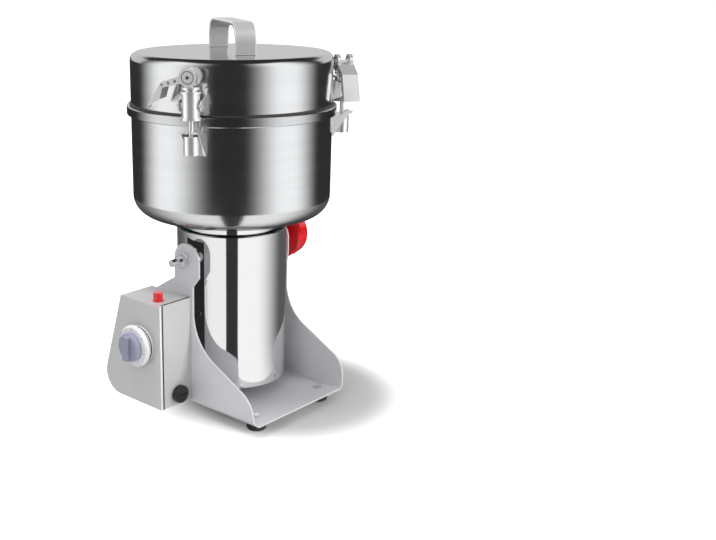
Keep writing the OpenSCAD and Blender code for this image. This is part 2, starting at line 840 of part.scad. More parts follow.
module at_posts() {
  for (i = [0:3]) rotate(i * 90 + 45) translate([post_ring, 0, 0]) children();
}

module upper_end_frame() color("#1b1b1d") difference() {
  union() {
    translate([0, 0, upper_frame_z]) cylinder(r = seat_r, h = frame_t);
    translate([0, 0, upper_bearing_z]) cylinder(r = hub_r, h = bearing_h + cut);
    at_posts() translate([0, 0, upper_frame_z]) cylinder(r = post_r, h = bowl_z - upper_frame_z);
  }
  translate([0, 0, upper_bearing_z - cut]) cylinder(r = bearing_r + fix_fit, h = bearing_h + cut);
  translate([0, 0, upper_bearing_z - cut])
    cylinder(r = shaft_r + shaft_room, h = frame_t + bearing_h + 2 * cut);
  at_posts() translate([0, 0, upper_frame_z + frame_t])
    cylinder(r = bowl_screw_r + fix_fit, h = collar_h + frame_sink + cut);
}

module lower_end_frame() color("#a9abad") difference() {
  union() {
    translate([0, 0, lower_frame_z]) cylinder(r = seat_r, h = lower_frame_t);
    translate([0, 0, lower_frame_z]) cylinder(r = hub_r, h = lower_hub_h);
  }
  translate([0, 0, lower_bearing_z]) cylinder(r = bearing_r + fix_fit, h = lower_hub_h);
  for (i = [0:5]) rotate(i * 60 + 30) translate([bore_r * 0.66, 0, lower_frame_z - cut])
    cylinder(r = spider_hole, h = lower_frame_t + 2 * cut);
}

// Slotted plastic cover that closes the tube's lower end
module vent_cover() color("#2a2a2c") difference() {
  union() {
    translate([0, 0, tube_z]) cylinder(r = seat_r, h = vent_t);
    translate([0, 0, tube_z + vent_t]) ring(seat_r, seat_r - vent_rim, vent_rim);
  }
  for (i = [0:vent_count - 1]) rotate(i * 360 / vent_count)
    translate([bore_r * 0.3, -vent_slot / 2, tube_z - cut])
      cube([bore_r * 0.5, vent_slot, vent_t + 2 * cut]);
}

// A wedge of the given half angle about the direction dir, wider than the core
module wedge(half, dir, h) {
  far = 2 * bore_r;
  rotate(dir) linear_extrude(h)
    polygon([[0, 0], [far * cos(half), -far * sin(half)], [far, 0], [far * cos(half), far * sin(half)]]);
}

module stator_core() color("#7b7d80") difference() {
  translate([0, 0, core_z]) cylinder(r = seat_r, h = core_h);
  translate([0, 0, core_z - cut]) cylinder(r = pole_r, h = core_h + 2 * cut);
  for (dir = [0, 180]) intersection() {
    translate([0, 0, core_z - cut]) ring(coil_out + free_gap, coil_in - free_gap, core_h + 2 * cut);
    translate([0, 0, core_z - 2 * cut]) wedge(window_half, dir, core_h + 4 * cut);
  }
}

module field_coils() color("#b5652b") difference() {
  translate([0, 0, core_z - coil_over]) ring(coil_out, coil_in, core_h + 2 * coil_over);
  for (dir = [90, 270]) translate([0, 0, core_z]) wedge(90 - window_half + 1, dir, core_h);
  translate([-bore_r, -free_gap, core_z - coil_over - cut])
    cube([2 * bore_r, 2 * free_gap, core_h + 2 * coil_over + 2 * cut]);
}

// Two insulated holders on the lower end frame, each with its carbon brush bore
module brush_holders() color("#b08d4a") for (side = [0, 180]) rotate(side) difference() {
  union() {
    translate([commutator_d / 2 + brush_room, -brush_w / 2, commutator_z + (commutator_h - brush_h) / 2])
      cube([brush_l, brush_w, brush_h]);
    translate([hub_r + brush_room, -brush_w / 2, lower_frame_z + lower_frame_t])
      cube([brush_wall * 3, brush_w, commutator_z + commutator_h / 2 - lower_frame_z - lower_frame_t]);
  }
  translate([
    commutator_d / 2, brush_wall - brush_w / 2, commutator_z + (commutator_h - brush_h) / 2 + brush_wall
  ]) cube([brush_l + 2 * cut, brush_w - 2 * brush_wall, brush_h - 2 * brush_wall]);
}

module bearings() color("#e3e4e6") for (z = [lower_bearing_z, upper_bearing_z])
  translate([0, 0, z]) ring(bearing_r, shaft_r + run_fit, bearing_h);

module bowl_collar() color("#dedfe1")
  translate([0, 0, upper_frame_z + frame_t])
    ring(collar_seat, collar_seat - collar_wall, collar_h + frame_sink);

module bowl() color("#6f7274") difference() {
  union() {
    translate([0, 0, bowl_z]) cup(bowl_r, bowl_h, bowl_corner, bowl_wall);
    translate([0, 0, rim_z - band_h]) rotate_extrude() band_half();
  }
  translate([0, 0, bowl_z - cut]) cylinder(r = seal_r + fix_fit, h = bowl_wall + 2 * cut);
  at_posts() translate([0, 0, bowl_z - cut]) cylinder(r = bowl_screw_r + fix_fit, h = bowl_wall + 2 * cut);
}

// Section of the band: a strip with its two outer corners rounded
module band_half() {
  soft = band_out * 0.6;
  translate([bowl_r - bowl_wall, 0]) square([bowl_wall + band_out - soft, band_h]);
  translate([bowl_r - bowl_wall, soft]) square([bowl_wall + band_out, band_h - 2 * soft]);
  for (z = [soft, band_h - soft]) translate([bowl_r + band_out - soft, z]) circle(soft);
}

module bowl_screws() color("silver") at_posts() {
  translate([0, 0, post_hole_z]) cylinder(r = bowl_screw_r, h = bowl_z + bowl_wall - post_hole_z);
  translate([0, 0, bowl_z + bowl_wall]) cylinder(r = bowl_screw_head, h = bowl_screw_head_h);
}

module shaft_seal() color("#26262a") difference() {
  union() {
    translate([0, 0, bowl_z + bowl_wall - seal_deep]) cylinder(r = seal_r, h = seal_deep);
    translate([0, 0, bowl_z + bowl_wall]) cylinder(r = seal_flange_r, h = seal_flange_t);
  }
  translate([0, 0, bowl_z + bowl_wall - seal_deep - cut])
    cylinder(r = shaft_r + run_fit, h = seal_deep + seal_flange_t + 2 * cut);
}

// Stands an outline of x and z up, with its width w halved by the XZ plane
module across(w) {
  translate([0, w / 2, 0]) rotate([90, 0, 0]) linear_extrude(w) children();
}

// Catch on the bowl: a plate with two flanks and a forked hook, whose prongs rise outward
module clamp_catches() color("#cfd0d2") for (i = [0:2]) clamp_at(i) difference() {
  across(catch_w) polygon([
    [-rod_out - cut, catch_low], [2 * catch_t - rod_out, catch_low],
    [flank_out, head_top + (flank_out + hook_end) * tan(prong_lean)],
    [prong_out, head_top + prong_rise],
    [prong_out - hook_t * sin(prong_lean), head_top + prong_rise + hook_t * cos(prong_lean)],
    [-hook_end - hook_t * tan(prong_lean / 2), head_top + hook_t], [-rod_out - cut, head_top + hook_t]
  ]);
  across(catch_w - 2 * catch_t) polygon([
    [catch_t - rod_out, catch_low - cut], [catch_t - rod_out, head_top], [-hook_end, head_top],
    [prong_out + prong_out, head_top + (2 * prong_out + hook_end) * tan(prong_lean)],
    [prong_out + prong_out, catch_low - cut]
  ]);
  translate([-rod_r, 0, catch_low - cut])
    cylinder(r = bowl_r + fix_fit, h = head_top + hook_t - catch_low + 2 * cut, $fn = fine);
  translate([0, 0, head_top - cut]) cylinder(r = rod_half + free_gap, h = prong_rise + hook_t + 2 * cut);
  translate([0, -rod_half - free_gap, head_top - cut])
    cube([2 * prong_out, 2 * (rod_half + free_gap), prong_rise + hook_t + 2 * cut]);
}

module lid() color("#83868a") translate([0, 0, lid_top]) mirror([0, 0, 1])
  cup(bowl_r, lid_h, lid_corner, lid_wall);

module lid_gasket() color("#e9e9e6") translate([0, 0, rim_z])
  ring(bowl_r + lid_wall, bowl_r + lid_wall - gasket_w, gasket_t);

// Bent strap: the outer outline less the inner one, pushed across its width
module lid_handle() color("#a8aaac") translate([0, 0, lid_top]) rotate([90, 0, handle_angle])
  translate([0, 0, -handle_w / 2]) linear_extrude(handle_w) intersection() {
    difference() {
      arch(handle_span / 2, handle_h, handle_bend);
      arch(handle_span / 2 - handle_t, handle_h - handle_t, handle_bend - handle_t);
    }
    translate([-handle_span, 0]) square([2 * handle_span, handle_h]);
  }

// A rectangle that stands on the X axis with its two upper corners rounded
module arch(half, h, bend) {
  translate([-half, -cut]) square([2 * half, h - bend + cut]);
  translate([bend - half, 0]) square([2 * (half - bend), h]);
  for (side = [-1, 1]) translate([side * (half - bend), h - bend]) circle(bend);
}

// Bracket on the lid: two ears with bores for the barrel's trunnions
module clamp_brackets() color("#cfd0d2") for (i = [0:2]) clamp_at(i) difference() {
  translate([0, ear_in + ear_t, 0]) rotate([90, 0, 0]) linear_extrude(2 * (ear_in + ear_t)) {
    polygon([
      [-rod_out - cut, ear_low], [plate_t - rod_out, ear_low],
      [ear_r * 0.5, trunnion_z - ear_r * 0.87], [0, trunnion_z + ear_r],
      [plate_t - rod_out, ear_high], [-rod_out - cut, ear_high]
    ]);
    translate([0, trunnion_z]) circle(ear_r);
  }
  translate([plate_t - rod_out, -ear_in, ear_low - cut]) cube([2 * rod_out, 2 * ear_in, ear_high]);
  translate([-rod_out - 2 * cut, -ear_in, trunnion_z]) cube([2 * rod_out, 2 * ear_in, ear_high]);
  translate([-rod_r, 0, ear_low - cut])
    cylinder(r = bowl_r + fix_fit, h = ear_high - ear_low + 2 * cut, $fn = fine);
  translate([0, ear_in + ear_t + cut, trunnion_z]) rotate([90, 0, 0])
    cylinder(r = trunnion_d / 2 + run_fit, h = 2 * (ear_in + ear_t + cut));
}

module clamp_barrel(i) color("#e2e3e5") clamp_at(i) difference() {
  union() {
    translate([0, 0, barrel_low]) cylinder(r = barrel_r, h = flange_t);
    translate([0, 0, barrel_low]) cylinder(r = waist_r, h = barrel_h);
    translate([0, 0, barrel_top - flange_t]) cylinder(r = barrel_r, h = flange_t);
    translate([0, 0, barrel_top]) cylinder(r = pad_neck_r, h = pad_top - barrel_top);
    translate([0, 0, pad_top - pad_t]) cylinder(r = pad_r, h = pad_t);
    translate([0, trunnion_end, trunnion_z]) rotate([90, 0, 0])
      cylinder(d = trunnion_d, h = 2 * trunnion_end);
  }
  translate([0, 0, barrel_low - cut]) cylinder(r = rod_half + fix_fit, h = pad_top - barrel_low + 2 * cut);
}

module clamp_rod(i) color("#d9dadc") clamp_at(i) {
  translate([0, 0, head_low]) cylinder(r = head_r, h = head_h);
  translate([0, 0, head_top]) cylinder(r = rod_half, h = pin_z + pin_d * 0.4 - head_top);
}

// Cross-drilled pin that the rod screws into and the lever turns on
module lever_pin(i) color("#e2e3e5") clamp_at(i) difference() {
  translate([-pin_end, 0, pin_z]) rotate([0, 90, 0]) cylinder(d = pin_d, h = 2 * pin_end);
  translate([0, 0, pin_z - pin_d]) cylinder(r = rod_half + fix_fit, h = pin_d * 1.4 + cut);
}

// The lever seen along its pin: round cheek, neck and bent paddle
module lever_blank() {
  neck = [lever_neck * cos(neck_angle), lever_neck * sin(neck_angle)];
  along = [cos(paddle_angle), sin(paddle_angle)];
  across = [sin(paddle_angle), -cos(paddle_angle)];
  side = [-sin(neck_angle), cos(neck_angle)];
  middle = neck + lever_paddle * 0.45 * along;
  cylinder(r = cam_r, h = lever_w);
  linear_extrude(lever_w) polygon([
    side * cam_r * neck_share, neck + side * neck_half, middle - across * neck_half * 0.5,
    neck + lever_paddle * along, middle + across * (paddle_half + neck_half),
    neck - side * neck_half, -side * cam_r * neck_share
  ]);
}

// Two cheeks for the rod between them, and a neck with three holes; the second is pressed further down
module clamp_lever(i) color("#dcdddf") clamp_at(i) translate([lever_w / 2, 0, pin_z])
  rotate([90, 0, -90]) rotate(-lever_turns[i]) difference() {
    lever_blank();
    translate([0, 0, cam_t]) cylinder(r = cam_r + free_gap, h = lever_w - 2 * cam_t);
    translate([0, 0, -cut]) cylinder(r = pin_d / 2 + run_fit, h = lever_w + 2 * cut);
    for (share = lever_hole_shares) translate([
      lever_neck * share * cos(neck_angle), lever_neck * share * sin(neck_angle), -cut
    ]) cylinder(r = lever_hole_r, h = lever_w + 2 * cut);
  }

module motor_shaft() color("#c8c9cb") translate([0, 0, shaft_low])
  cylinder(r = shaft_r, h = shaft_top - shaft_low);

module armature_core() color("#66686b") translate([0, 0, core_z]) difference() {
  ring(armature_r, shaft_r + fix_fit, core_h);
  for (i = [0:slot_count - 1]) rotate(i * 360 / slot_count) translate([slot_ring, 0, -cut])
    cylinder(r = slot_r, h = core_h + 2 * cut);
}

module armature_winding() color("#b5652b") for (z = [core_z - winding_h, core_z + core_h])
  translate([0, 0, z]) ring(slot_ring - slot_r, shaft_r + fix_fit, winding_h);

module commutator() color("#c07a45") translate([0, 0, commutator_z]) difference() {
  ring(commutator_d / 2, shaft_r + fix_fit, commutator_h);
  for (i = [0:bar_count - 1]) rotate(i * 360 / bar_count)
    translate([commutator_d / 2 - bar_deep, -bar_gap / 2, -cut])
      cube([bar_deep + cut, bar_gap, commutator_h + 2 * cut]);
}

module cooling_fan() color("#3c3c40") translate([0, 0, fan_z]) difference() {
  union() {
    cylinder(r = fan_r, h = fan_plate);
    cylinder(r = fan_hub_r, h = fan_h);
    for (i = [0:fan_blades - 1]) rotate(i * 360 / fan_blades)
      translate([fan_hub_r - cut, -fan_blade_t / 2, 0])
        cube([fan_r - fan_hub_r - cut, fan_blade_t, fan_h]);
  }
  translate([0, 0, -cut]) cylinder(r = shaft_r + fix_fit, h = fan_h + 2 * cut);
}

// Two-armed blade with slanted cutting ends and a bore for the shaft
module blade(reach) difference() {
  linear_extrude(blade_t) {
    for (turn = [0, 180]) rotate(turn) polygon([
      [0, -blade_w / 2], [reach / 2 - blade_w, -blade_w / 2], [reach / 2, -blade_w * 0.1],
      [reach / 2 - blade_w * 0.3, blade_w * 0.3], [0, blade_w / 2]
    ]);
  }
  translate([0, 0, -cut]) cylinder(r = shaft_r + fix_fit, h = blade_t + 2 * cut);
}

module lower_blade() color("#cfd1d3") translate([0, 0, lower_blade_z]) blade(lower_reach);

module upper_blade() color("#cfd1d3") translate([0, 0, upper_blade_z]) rotate(90) blade(upper_reach);

module blade_spacers() color("#bfc0c2") {
  translate([0, 0, spacer_foot]) ring(spacer_r, shaft_r + fix_fit, lower_blade_z - spacer_foot);
  translate([0, 0, lower_blade_z + blade_t]) ring(spacer_r, shaft_r + fix_fit, blade_step - blade_t);
}

module blade_nut() color("#d8d8da") translate([0, 0, upper_blade_z + blade_t]) difference() {
  hexagon(blade_nut_flats, blade_nut_h);
  translate([0, 0, -cut]) cylinder(r = shaft_r + fix_fit, h = blade_nut_h + 2 * cut);
}

stand_bracket();
rubber_feet();
foot_screws();
pivot_bushes();
box_shell();
box_screws();
timer_body();
timer_bezel();
lamp_lens();
lamp_body();
fuse_holder();
cable_gland();
terminal_block();
timer_spindle();
timer_dial();
timer_knob();
fuse_cap();
lock_knob();
lock_stud();
motor_tube();
pivot_bosses();
pivot_stud();
pivot_nut();
upper_end_frame();
lower_end_frame();
vent_cover();
stator_core();
field_coils();
brush_holders();
bearings();
bowl_collar();
bowl();
bowl_screws();
shaft_seal();
clamp_catches();
lid();
lid_gasket();
lid_handle();
clamp_brackets();
motor_shaft();
armature_core();
armature_winding();
commutator();
cooling_fan();
lower_blade();
blade_spacers();
upper_blade();
blade_nut();
clamp_barrel(0);  // clamp_barrel_1
clamp_barrel(1);  // clamp_barrel_2
clamp_barrel(2);  // clamp_barrel_3
clamp_rod(0);  // clamp_rod_1
clamp_rod(1);  // clamp_rod_2
clamp_rod(2);  // clamp_rod_3
lever_pin(0);  // lever_pin_1
lever_pin(1);  // lever_pin_2
lever_pin(2);  // lever_pin_3
clamp_lever(0);  // clamp_lever_1
clamp_lever(1);  // clamp_lever_2
clamp_lever(2);  // clamp_lever_3
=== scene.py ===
# %% [markdown]
# # Electric grain mill, dressed piece by piece
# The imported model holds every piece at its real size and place. This file gives the pieces their
# looks. Round pieces are spun again with fine steps, because polished steel shows every flat. The
# control box gets its folded seam, the timer its grooved collar and its scale, and the levers'
# pins their rings and rivet heads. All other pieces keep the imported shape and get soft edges.
# Everything is in metres.

# %% Load the frame
import math

import bmesh
import bpy
from mathutils import Matrix, Vector


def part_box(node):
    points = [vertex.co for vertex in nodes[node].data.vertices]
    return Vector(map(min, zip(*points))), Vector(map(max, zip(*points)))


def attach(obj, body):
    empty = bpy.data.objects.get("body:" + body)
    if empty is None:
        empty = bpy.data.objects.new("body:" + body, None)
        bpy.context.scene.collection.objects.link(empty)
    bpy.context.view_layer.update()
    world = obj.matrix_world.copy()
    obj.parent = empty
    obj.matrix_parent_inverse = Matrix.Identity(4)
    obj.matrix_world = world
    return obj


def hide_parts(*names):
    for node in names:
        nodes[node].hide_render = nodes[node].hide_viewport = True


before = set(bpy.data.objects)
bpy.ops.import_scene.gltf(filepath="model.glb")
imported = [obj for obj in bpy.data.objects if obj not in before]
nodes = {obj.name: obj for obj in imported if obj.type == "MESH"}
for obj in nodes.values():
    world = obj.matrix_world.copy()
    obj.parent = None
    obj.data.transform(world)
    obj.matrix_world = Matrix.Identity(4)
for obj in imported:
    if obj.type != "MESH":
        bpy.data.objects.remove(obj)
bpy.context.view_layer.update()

MM = 0.001

# %% [markdown]
# ## Camera
# The photograph was taken from the front left, a little above the lid, with a long lens. A camera
# can be aimed by hand until the picture looks right. Here its lens, distance and height were
# worked out from edges of the mill whose sizes are known, because a wrong lens shows as wrong
# proportions. The mill stands left of the picture's middle, so the lens is shifted, and the
# camera still looks straight at the mill's axis.

# %% Camera at the photograph's angle
PHOTO_WIDTH = 716
FOCAL_PX = 1025
AXIS_PX = 231.7
SENSOR_MM = 36
CAMERA_TURN = math.radians(-46.6)
CAMERA_PITCH = math.radians(16.9)
CAMERA_DISTANCE = 1.1264
CAMERA_HEIGHT = 0.4932

lens = bpy.data.cameras.new("camera")
lens.sensor_width = SENSOR_MM
lens.lens = lens.sensor_width * FOCAL_PX / PHOTO_WIDTH
lens.shift_x = 0.5 - AXIS_PX / PHOTO_WIDTH
camera = bpy.data.objects.new("camera", lens)
camera.location = (
    CAMERA_DISTANCE * math.sin(CAMERA_TURN),
    -CAMERA_DISTANCE * math.cos(CAMERA_TURN),
    CAMERA_HEIGHT,
)
camera.rotation_euler = (math.pi / 2 - CAMERA_PITCH, 0, CAMERA_TURN)
bpy.context.scene.collection.objects.link(camera)
bpy.context.scene.camera = camera
bpy.context.scene.view_settings.view_transform = "Standard"
camera_bearing = math.atan2(camera.location.y, camera.location.x)
print("lens:", round(lens.lens, 1), "mm, shift:", round(lens.shift_x, 3))

# %% [markdown]
# ## Writing shaders as sums
# A finish such as brushed steel is a pattern of numbers that feeds a shader. Its nodes could be
# added and linked one by one, but a sum is easier to read than a heap of nodes. So one small
# class wraps a node's output and turns Python's operators into Math nodes, and a second one holds
# the nodes of a material and adds any other kind.


# %% A reading with operators, and a finish that holds the nodes
WHITE = (1, 1, 1, 1)


class Reading:
    """A node's output, whose operators add Math nodes."""

    def __init__(self, finish, socket):
        self.finish, self.socket = finish, socket

    def __add__(self, other):
        return self.finish.maths("ADD", self, other)

    def __sub__(self, other):
        return self.finish.maths("SUBTRACT", self, other)

    def __rsub__(self, other):
        return self.finish.maths("SUBTRACT", other, self)

    def __mul__(self, other):
        return self.finish.maths("MULTIPLY", self, other)

    def __truediv__(self, other):
        return self.finish.maths("DIVIDE", self, other)

    def __rtruediv__(self, other):
        return self.finish.maths("DIVIDE", other, self)

    __radd__ = __add__
    __rmul__ = __mul__


class Finish:
    """The nodes of one material, or of the world."""

    def __init__(self, name, owner=None):
        self.material = owner or bpy.data.materials.new(name)
        self.material.use_nodes = True
        self.tree = self.material.node_tree
        self.tree.nodes.clear()

    def node(self, kind, settings=None, inputs=None, output=0):
        """Adds a node, sets its settings first, and then fills its inputs."""
        made = self.tree.nodes.new(kind)
        for name, value in (settings or {}).items():
            setattr(made, name, value)
        for name, value in (inputs or {}).items():
            if isinstance(value, Reading):
                self.tree.links.new(value.socket, made.inputs[name])
            else:
                made.inputs[name].default_value = value
        return Reading(self, made.outputs[output]) if made.outputs else None

    def maths(self, operation, *values):
        return self.node("ShaderNodeMath", {"operation": operation}, dict(enumerate(values)))

    def place(self):
        """Where a point is on its piece at rest, as three readings in metres."""
        point = self.node("ShaderNodeTexCoord", output="Object")
        split = self.node("ShaderNodeSeparateXYZ", inputs={"Vector": point})
        return [Reading(self, output) for output in split.socket.node.outputs]

    def join(self, x, y, z):
        return self.node("ShaderNodeCombineXYZ", inputs={"X": x, "Y": y, "Z": z})

    def reach(self, x, y):
        """How far a point is from an upright axis."""
        return self.maths("POWER", x * x + y * y, 0.5)

    def noise(self, vector, detail=2.0, roughness=0.5):
        return self.node(
            "ShaderNodeTexNoise",
            inputs={"Vector": vector, "Scale": 1.0, "Detail": detail, "Roughness": roughness},
            output="Fac",
        )

    def ease(self, value, low, high, to_low=0.0, to_high=1.0):
        """Eases from to_low to to_high as the value goes from low to high."""
        limits = {"From Min": low, "From Max": high, "To Min": to_low, "To Max": to_high}
        smooth = {"interpolation_type": "SMOOTHSTEP"}
        return self.node("ShaderNodeMapRange", smooth, {"Value": value, **limits})

    def stray(self, base, pattern, share):
        """A number that strays from its base by a share of a pattern, whose middle is a half."""
        return base + (pattern - 0.5) * share

    def mix(self, share, first, second):
        """Mixes two colours, or readings of colours, which are this node's inputs 6 and 7."""
        pair = [v if isinstance(v, Reading) else (*v, 1) for v in (first, second)]
        return self.node(
            "ShaderNodeMix", {"data_type": "RGBA"}, {0: share, 6: pair[0], 7: pair[1]}, output=2
        )

    def bump(self, height, depth, strength=0.5):
        inputs = {"Height": height, "Distance": depth, "Strength": strength}
        return self.node("ShaderNodeBump", inputs=inputs, output="Normal")

    def ray(self, kind):
        """1 for rays of one kind, and 0 for all others."""
        return self.node("ShaderNodeLightPath", output=kind)

    def light(self, level):
        return self.node("ShaderNodeEmission", inputs={"Color": WHITE, "Strength": level})

    def either(self, share, first, second):
        """One of two shaders, by a share of 0 or 1."""
        return self.node("ShaderNodeMixShader", inputs={0: share, 1: first, 2: second})

    def end(self, surface):
        self.node("ShaderNodeOutputMaterial", inputs={"Surface": surface})
        return self.material

    def shade(self, **sockets):
        """Ends the material in one Principled shader. Double underscores stand for spaces."""
        named = {name.replace("__", " "): value for name, value in sockets.items()}
        return self.end(self.node("ShaderNodeBsdfPrincipled", inputs=named))


print("shader helpers ready")

# %% [markdown]
# ## Stage
# The photograph shows the mill on white, with a short soft shadow. White could come from strong
# lamps, but these would burn out the paint. So the floor glows for camera rays only, and less
# under the mill, where the shadow is. The world is white to the camera too, and dimmer where it
# lights the mill or shows in its steel.

# %% World
SOFT_AIR, MIRRORED_AIR, SEEN_AIR = 0.42, 0.80, 1.0

world = bpy.data.worlds.new("studio")
bpy.context.scene.world = world
air = Finish("studio", world)
soft_air, mirrored_air, seen_air = (
    air.node("ShaderNodeBackground", inputs={"Color": WHITE, "Strength": strength})
    for strength in (SOFT_AIR, MIRRORED_AIR, SEEN_AIR)
)
unseen_air = air.either(air.ray("Is Glossy Ray"), soft_air, mirrored_air)
all_air = air.either(air.ray("Is Camera Ray"), unseen_air, seen_air)
air.node("ShaderNodeOutputWorld", inputs={"Surface": all_air})
print("world strengths:", SOFT_AIR, MIRRORED_AIR, SEEN_AIR)

# %% Floor
FLOOR_RADIUS = 7.0
FLOOR_DROP = 1 * MM
FLOOR_SHADE = 0.62
STAGE_STEPS = 128
NEAR_GLOW, FAR_GLOW = 0.03, 0.95
SHADE_EAST, SHADE_NORTH = 0.048, -0.045
SHADE_INNER, SHADE_OUTER = 0.095, 0.172


def stage_turned(name, outline):
    """Spins an open outline of (radius, height) about Z into a sheet of the stage."""
    bm = bmesh.new()
    points = [bm.verts.new((radius, 0, height)) for radius, height in outline]
    sides = [bm.edges.new(pair) for pair in zip(points, points[1:])]
    bmesh.ops.spin(
        bm,
        geom=points + sides,
        cent=(0, 0, 0),
        axis=(0, 0, 1),
        angle=math.tau,
        steps=STAGE_STEPS,
        use_merge=True,
    )
    bmesh.ops.remove_doubles(bm, verts=bm.verts, dist=0.1 * MM)
    return stage_sheet(name, bm)


def stage_sheet(name, bm):
    """Makes a bmesh a sheet of the stage, which isn't part of the mill."""
    mesh = bpy.data.meshes.new(name)
    bm.to_mesh(mesh)
    bm.free()
    sheet = bpy.data.objects.new(name, mesh)
    bpy.context.scene.collection.objects.link(sheet)
    return sheet


floor = stage_turned("floor", [(0, -FLOOR_DROP), (FLOOR_RADIUS, -FLOOR_DROP)])
paper = Finish("floor_paper")
looked_at = paper.ray("Is Camera Ray")
east, north, _ = paper.place()
away = paper.reach(east - SHADE_EAST, north - SHADE_NORTH)
white = paper.ease(away, SHADE_INNER, SHADE_OUTER, NEAR_GLOW, FAR_GLOW)
plain = paper.node("ShaderNodeBsdfDiffuse", inputs={"Color": (*[FLOOR_SHADE] * 3, 1)})
both = paper.node("ShaderNodeAddShader", inputs={0: plain, 1: paper.light(looked_at * white)})
floor.data.materials.append(paper.end(both))
print("floor:", FLOOR_RADIUS, "m, white from", SHADE_OUTER, "m out")

# %% [markdown]
# ## Reflection cards
# Polished steel shows what stands round it. In a studio that is white and black boards, and their
# edges make the stripes on the bowl and the tube. A picture of a studio could do it, but simple
# glowing sheets follow the same rules from every side. Only reflections see them. The bowl
# mirrors a wide dish with a dome over it, bright on both sides and dark toward the viewer. The
# tube mirrors a low ring close by. A small dark board at the left cheek's inner face is painted
# shade: it stands for that shaded face, and makes the tube's dark stripe. The sheets stay where
# they are when the camera moves.

# %% Boards that glow by their bearing
NEVER = (400, 401)  # degrees, past a half turn, so that a fall there never comes


class Board(Finish):
    """A glowing card whose level depends on how far round from the viewer a point lies."""

    def __init__(self, name):
        super().__init__(name)
        east, north, self.height = self.place()
        around = self.maths("ARCTAN2", north, east)
        self.turned = self.maths("WRAP", around - camera_bearing, math.pi, -math.pi)

    def side_light(self, sign, rise, fall=NEVER, low=0.0):
        """Bright between two soft edges, given in degrees round from the viewer, on one side."""
        up = self.ease(self.turned * sign, *[math.radians(a) for a in rise])
        down = self.ease(self.turned * sign, *[math.radians(a) for a in fall], 1.0, low)
        return up * down

    def glow(self, level):
        return self.end(self.light(level))


def hide_but_glossy(card):
    """Leaves a card to reflections alone."""
    for ray in ("camera", "diffuse", "shadow", "transmission", "volume_scatter"):
        setattr(card, "visible_" + ray, False)


# %% Wide dish with its dome
WALL_RADIUS, WALL_HEIGHT = 5.0, 2.0
DOME = [(4.7, 3.2), (3.8, 4.4), (2.3, 5.2), (0, 5.6)]
DISH_DARK = 0.03
FAR_RIGHT, FAR_RIGHT_EDGES = 1.12, [(13, 58), (70, 112)]
FAR_LEFT, FAR_LEFT_EDGES = 1.10, [(18, 72), (82, 124)]
BEHIND, BEHIND_RISE = 0.62, (115, 125)
LIT_FROM, LIT_TO = (0.45, 0.55), (2.6, 3.4)
DIM_FROM, DIM_TO = 4.7, 5.3

dish_foot = -FLOOR_DROP / 2
dish_outline = [(0, dish_foot), (WALL_RADIUS, dish_foot), (WALL_RADIUS, WALL_HEIGHT), *DOME]
dish = stage_turned("reflection_dish", dish_outline)
hide_but_glossy(dish)
far_board = Board("far_board")
sides = FAR_RIGHT * far_board.side_light(1, *FAR_RIGHT_EDGES)
sides = sides + FAR_LEFT * far_board.side_light(-1, *FAR_LEFT_EDGES)
behind = far_board.side_light(1, BEHIND_RISE) + far_board.side_light(-1, BEHIND_RISE)
over = far_board.ease(far_board.height, *LIT_FROM)
under = far_board.ease(far_board.height, *LIT_TO, 1.0, 0.0)
low_part = far_board.ease(far_board.height, DIM_FROM, DIM_TO, 1.0, 0.0)
level = DISH_DARK + sides * low_part + BEHIND * behind * over * under
dish.data.materials.append(far_board.glow(level))
print("reflection dish:", WALL_RADIUS, "m")

# %% Low ring and a board of painted shade
NEAR_RADIUS, NEAR_HEIGHT = 0.30, 0.175
NEAR_DARK, NEAR_LOW = 0.035, 0.07
NEAR_RIGHT, NEAR_RIGHT_EDGES = 0.95, [(11, 12), (45, 115)]
NEAR_LEFT, NEAR_LEFT_EDGES = 0.88, [(10, 11), (30, 125)]
SHADE_FLAG_LEVEL = 0.02
FLAG_IN = 3.0 * MM
FLAG_FRONT, FLAG_BACK, FLAG_FOOT, FLAG_TOP = -0.012, 0.030, 0.030, 0.195

ring = stage_turned("reflection_ring", [(0, 0), (NEAR_RADIUS, 0), (NEAR_RADIUS, NEAR_HEIGHT)])
hide_but_glossy(ring)
near_board = Board("near_board")
right = NEAR_RIGHT * near_board.side_light(1, *NEAR_RIGHT_EDGES, NEAR_LOW)
left = NEAR_LEFT * near_board.side_light(-1, *NEAR_LEFT_EDGES, NEAR_LOW)
ring.data.materials.append(near_board.glow(NEAR_DARK + right + left))

# The dark board at the left cheek's inner face is painted shade: reflections show it in place of
# that shaded face.
cheek_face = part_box("stand_bracket")[0].x
flag_middle = (cheek_face + FLAG_IN, (FLAG_FRONT + FLAG_BACK) / 2, (FLAG_FOOT + FLAG_TOP) / 2)
flag_size = Matrix.Diagonal((FLAG_TOP - FLAG_FOOT, FLAG_BACK - FLAG_FRONT, 1, 1))
flag_place = Matrix.Translation(flag_middle) @ Matrix.Rotation(math.pi / 2, 4, "Y") @ flag_size
flag_sheet = bmesh.new()
bmesh.ops.create_grid(flag_sheet, x_segments=1, y_segments=1, size=0.5, matrix=flag_place)
flag = stage_sheet("painted_shade_flag", flag_sheet)
hide_but_glossy(flag)
flag.data.materials.append(Board("painted_shade_board").glow(SHADE_FLAG_LEVEL))
print("reflection ring:", NEAR_RADIUS, "m")

# %% [markdown]
# ## Lamps
# A mill on white is lit softly, mostly from above, so that its shadow stays close to it. Small
# lamps would give hard shadows, so three large square ones are used: one above and a little
# behind, one in front, and a weak one on the mill's left. Reflections don't see them, because the
# cards already make the stripes on the steel.

# %% Three soft lamps
LAMP_AIM = Vector((0, 0, 0.15))
LAMPS = [
    ("key_lamp", (-0.30, 0.25, 2.0), 0.9, 30),
    ("front_lamp", (0.6, -2.0, 0.8), 0.8, 26),
    ("side_lamp", (-2.0, -0.6, 1.2), 1.0, 10),
]

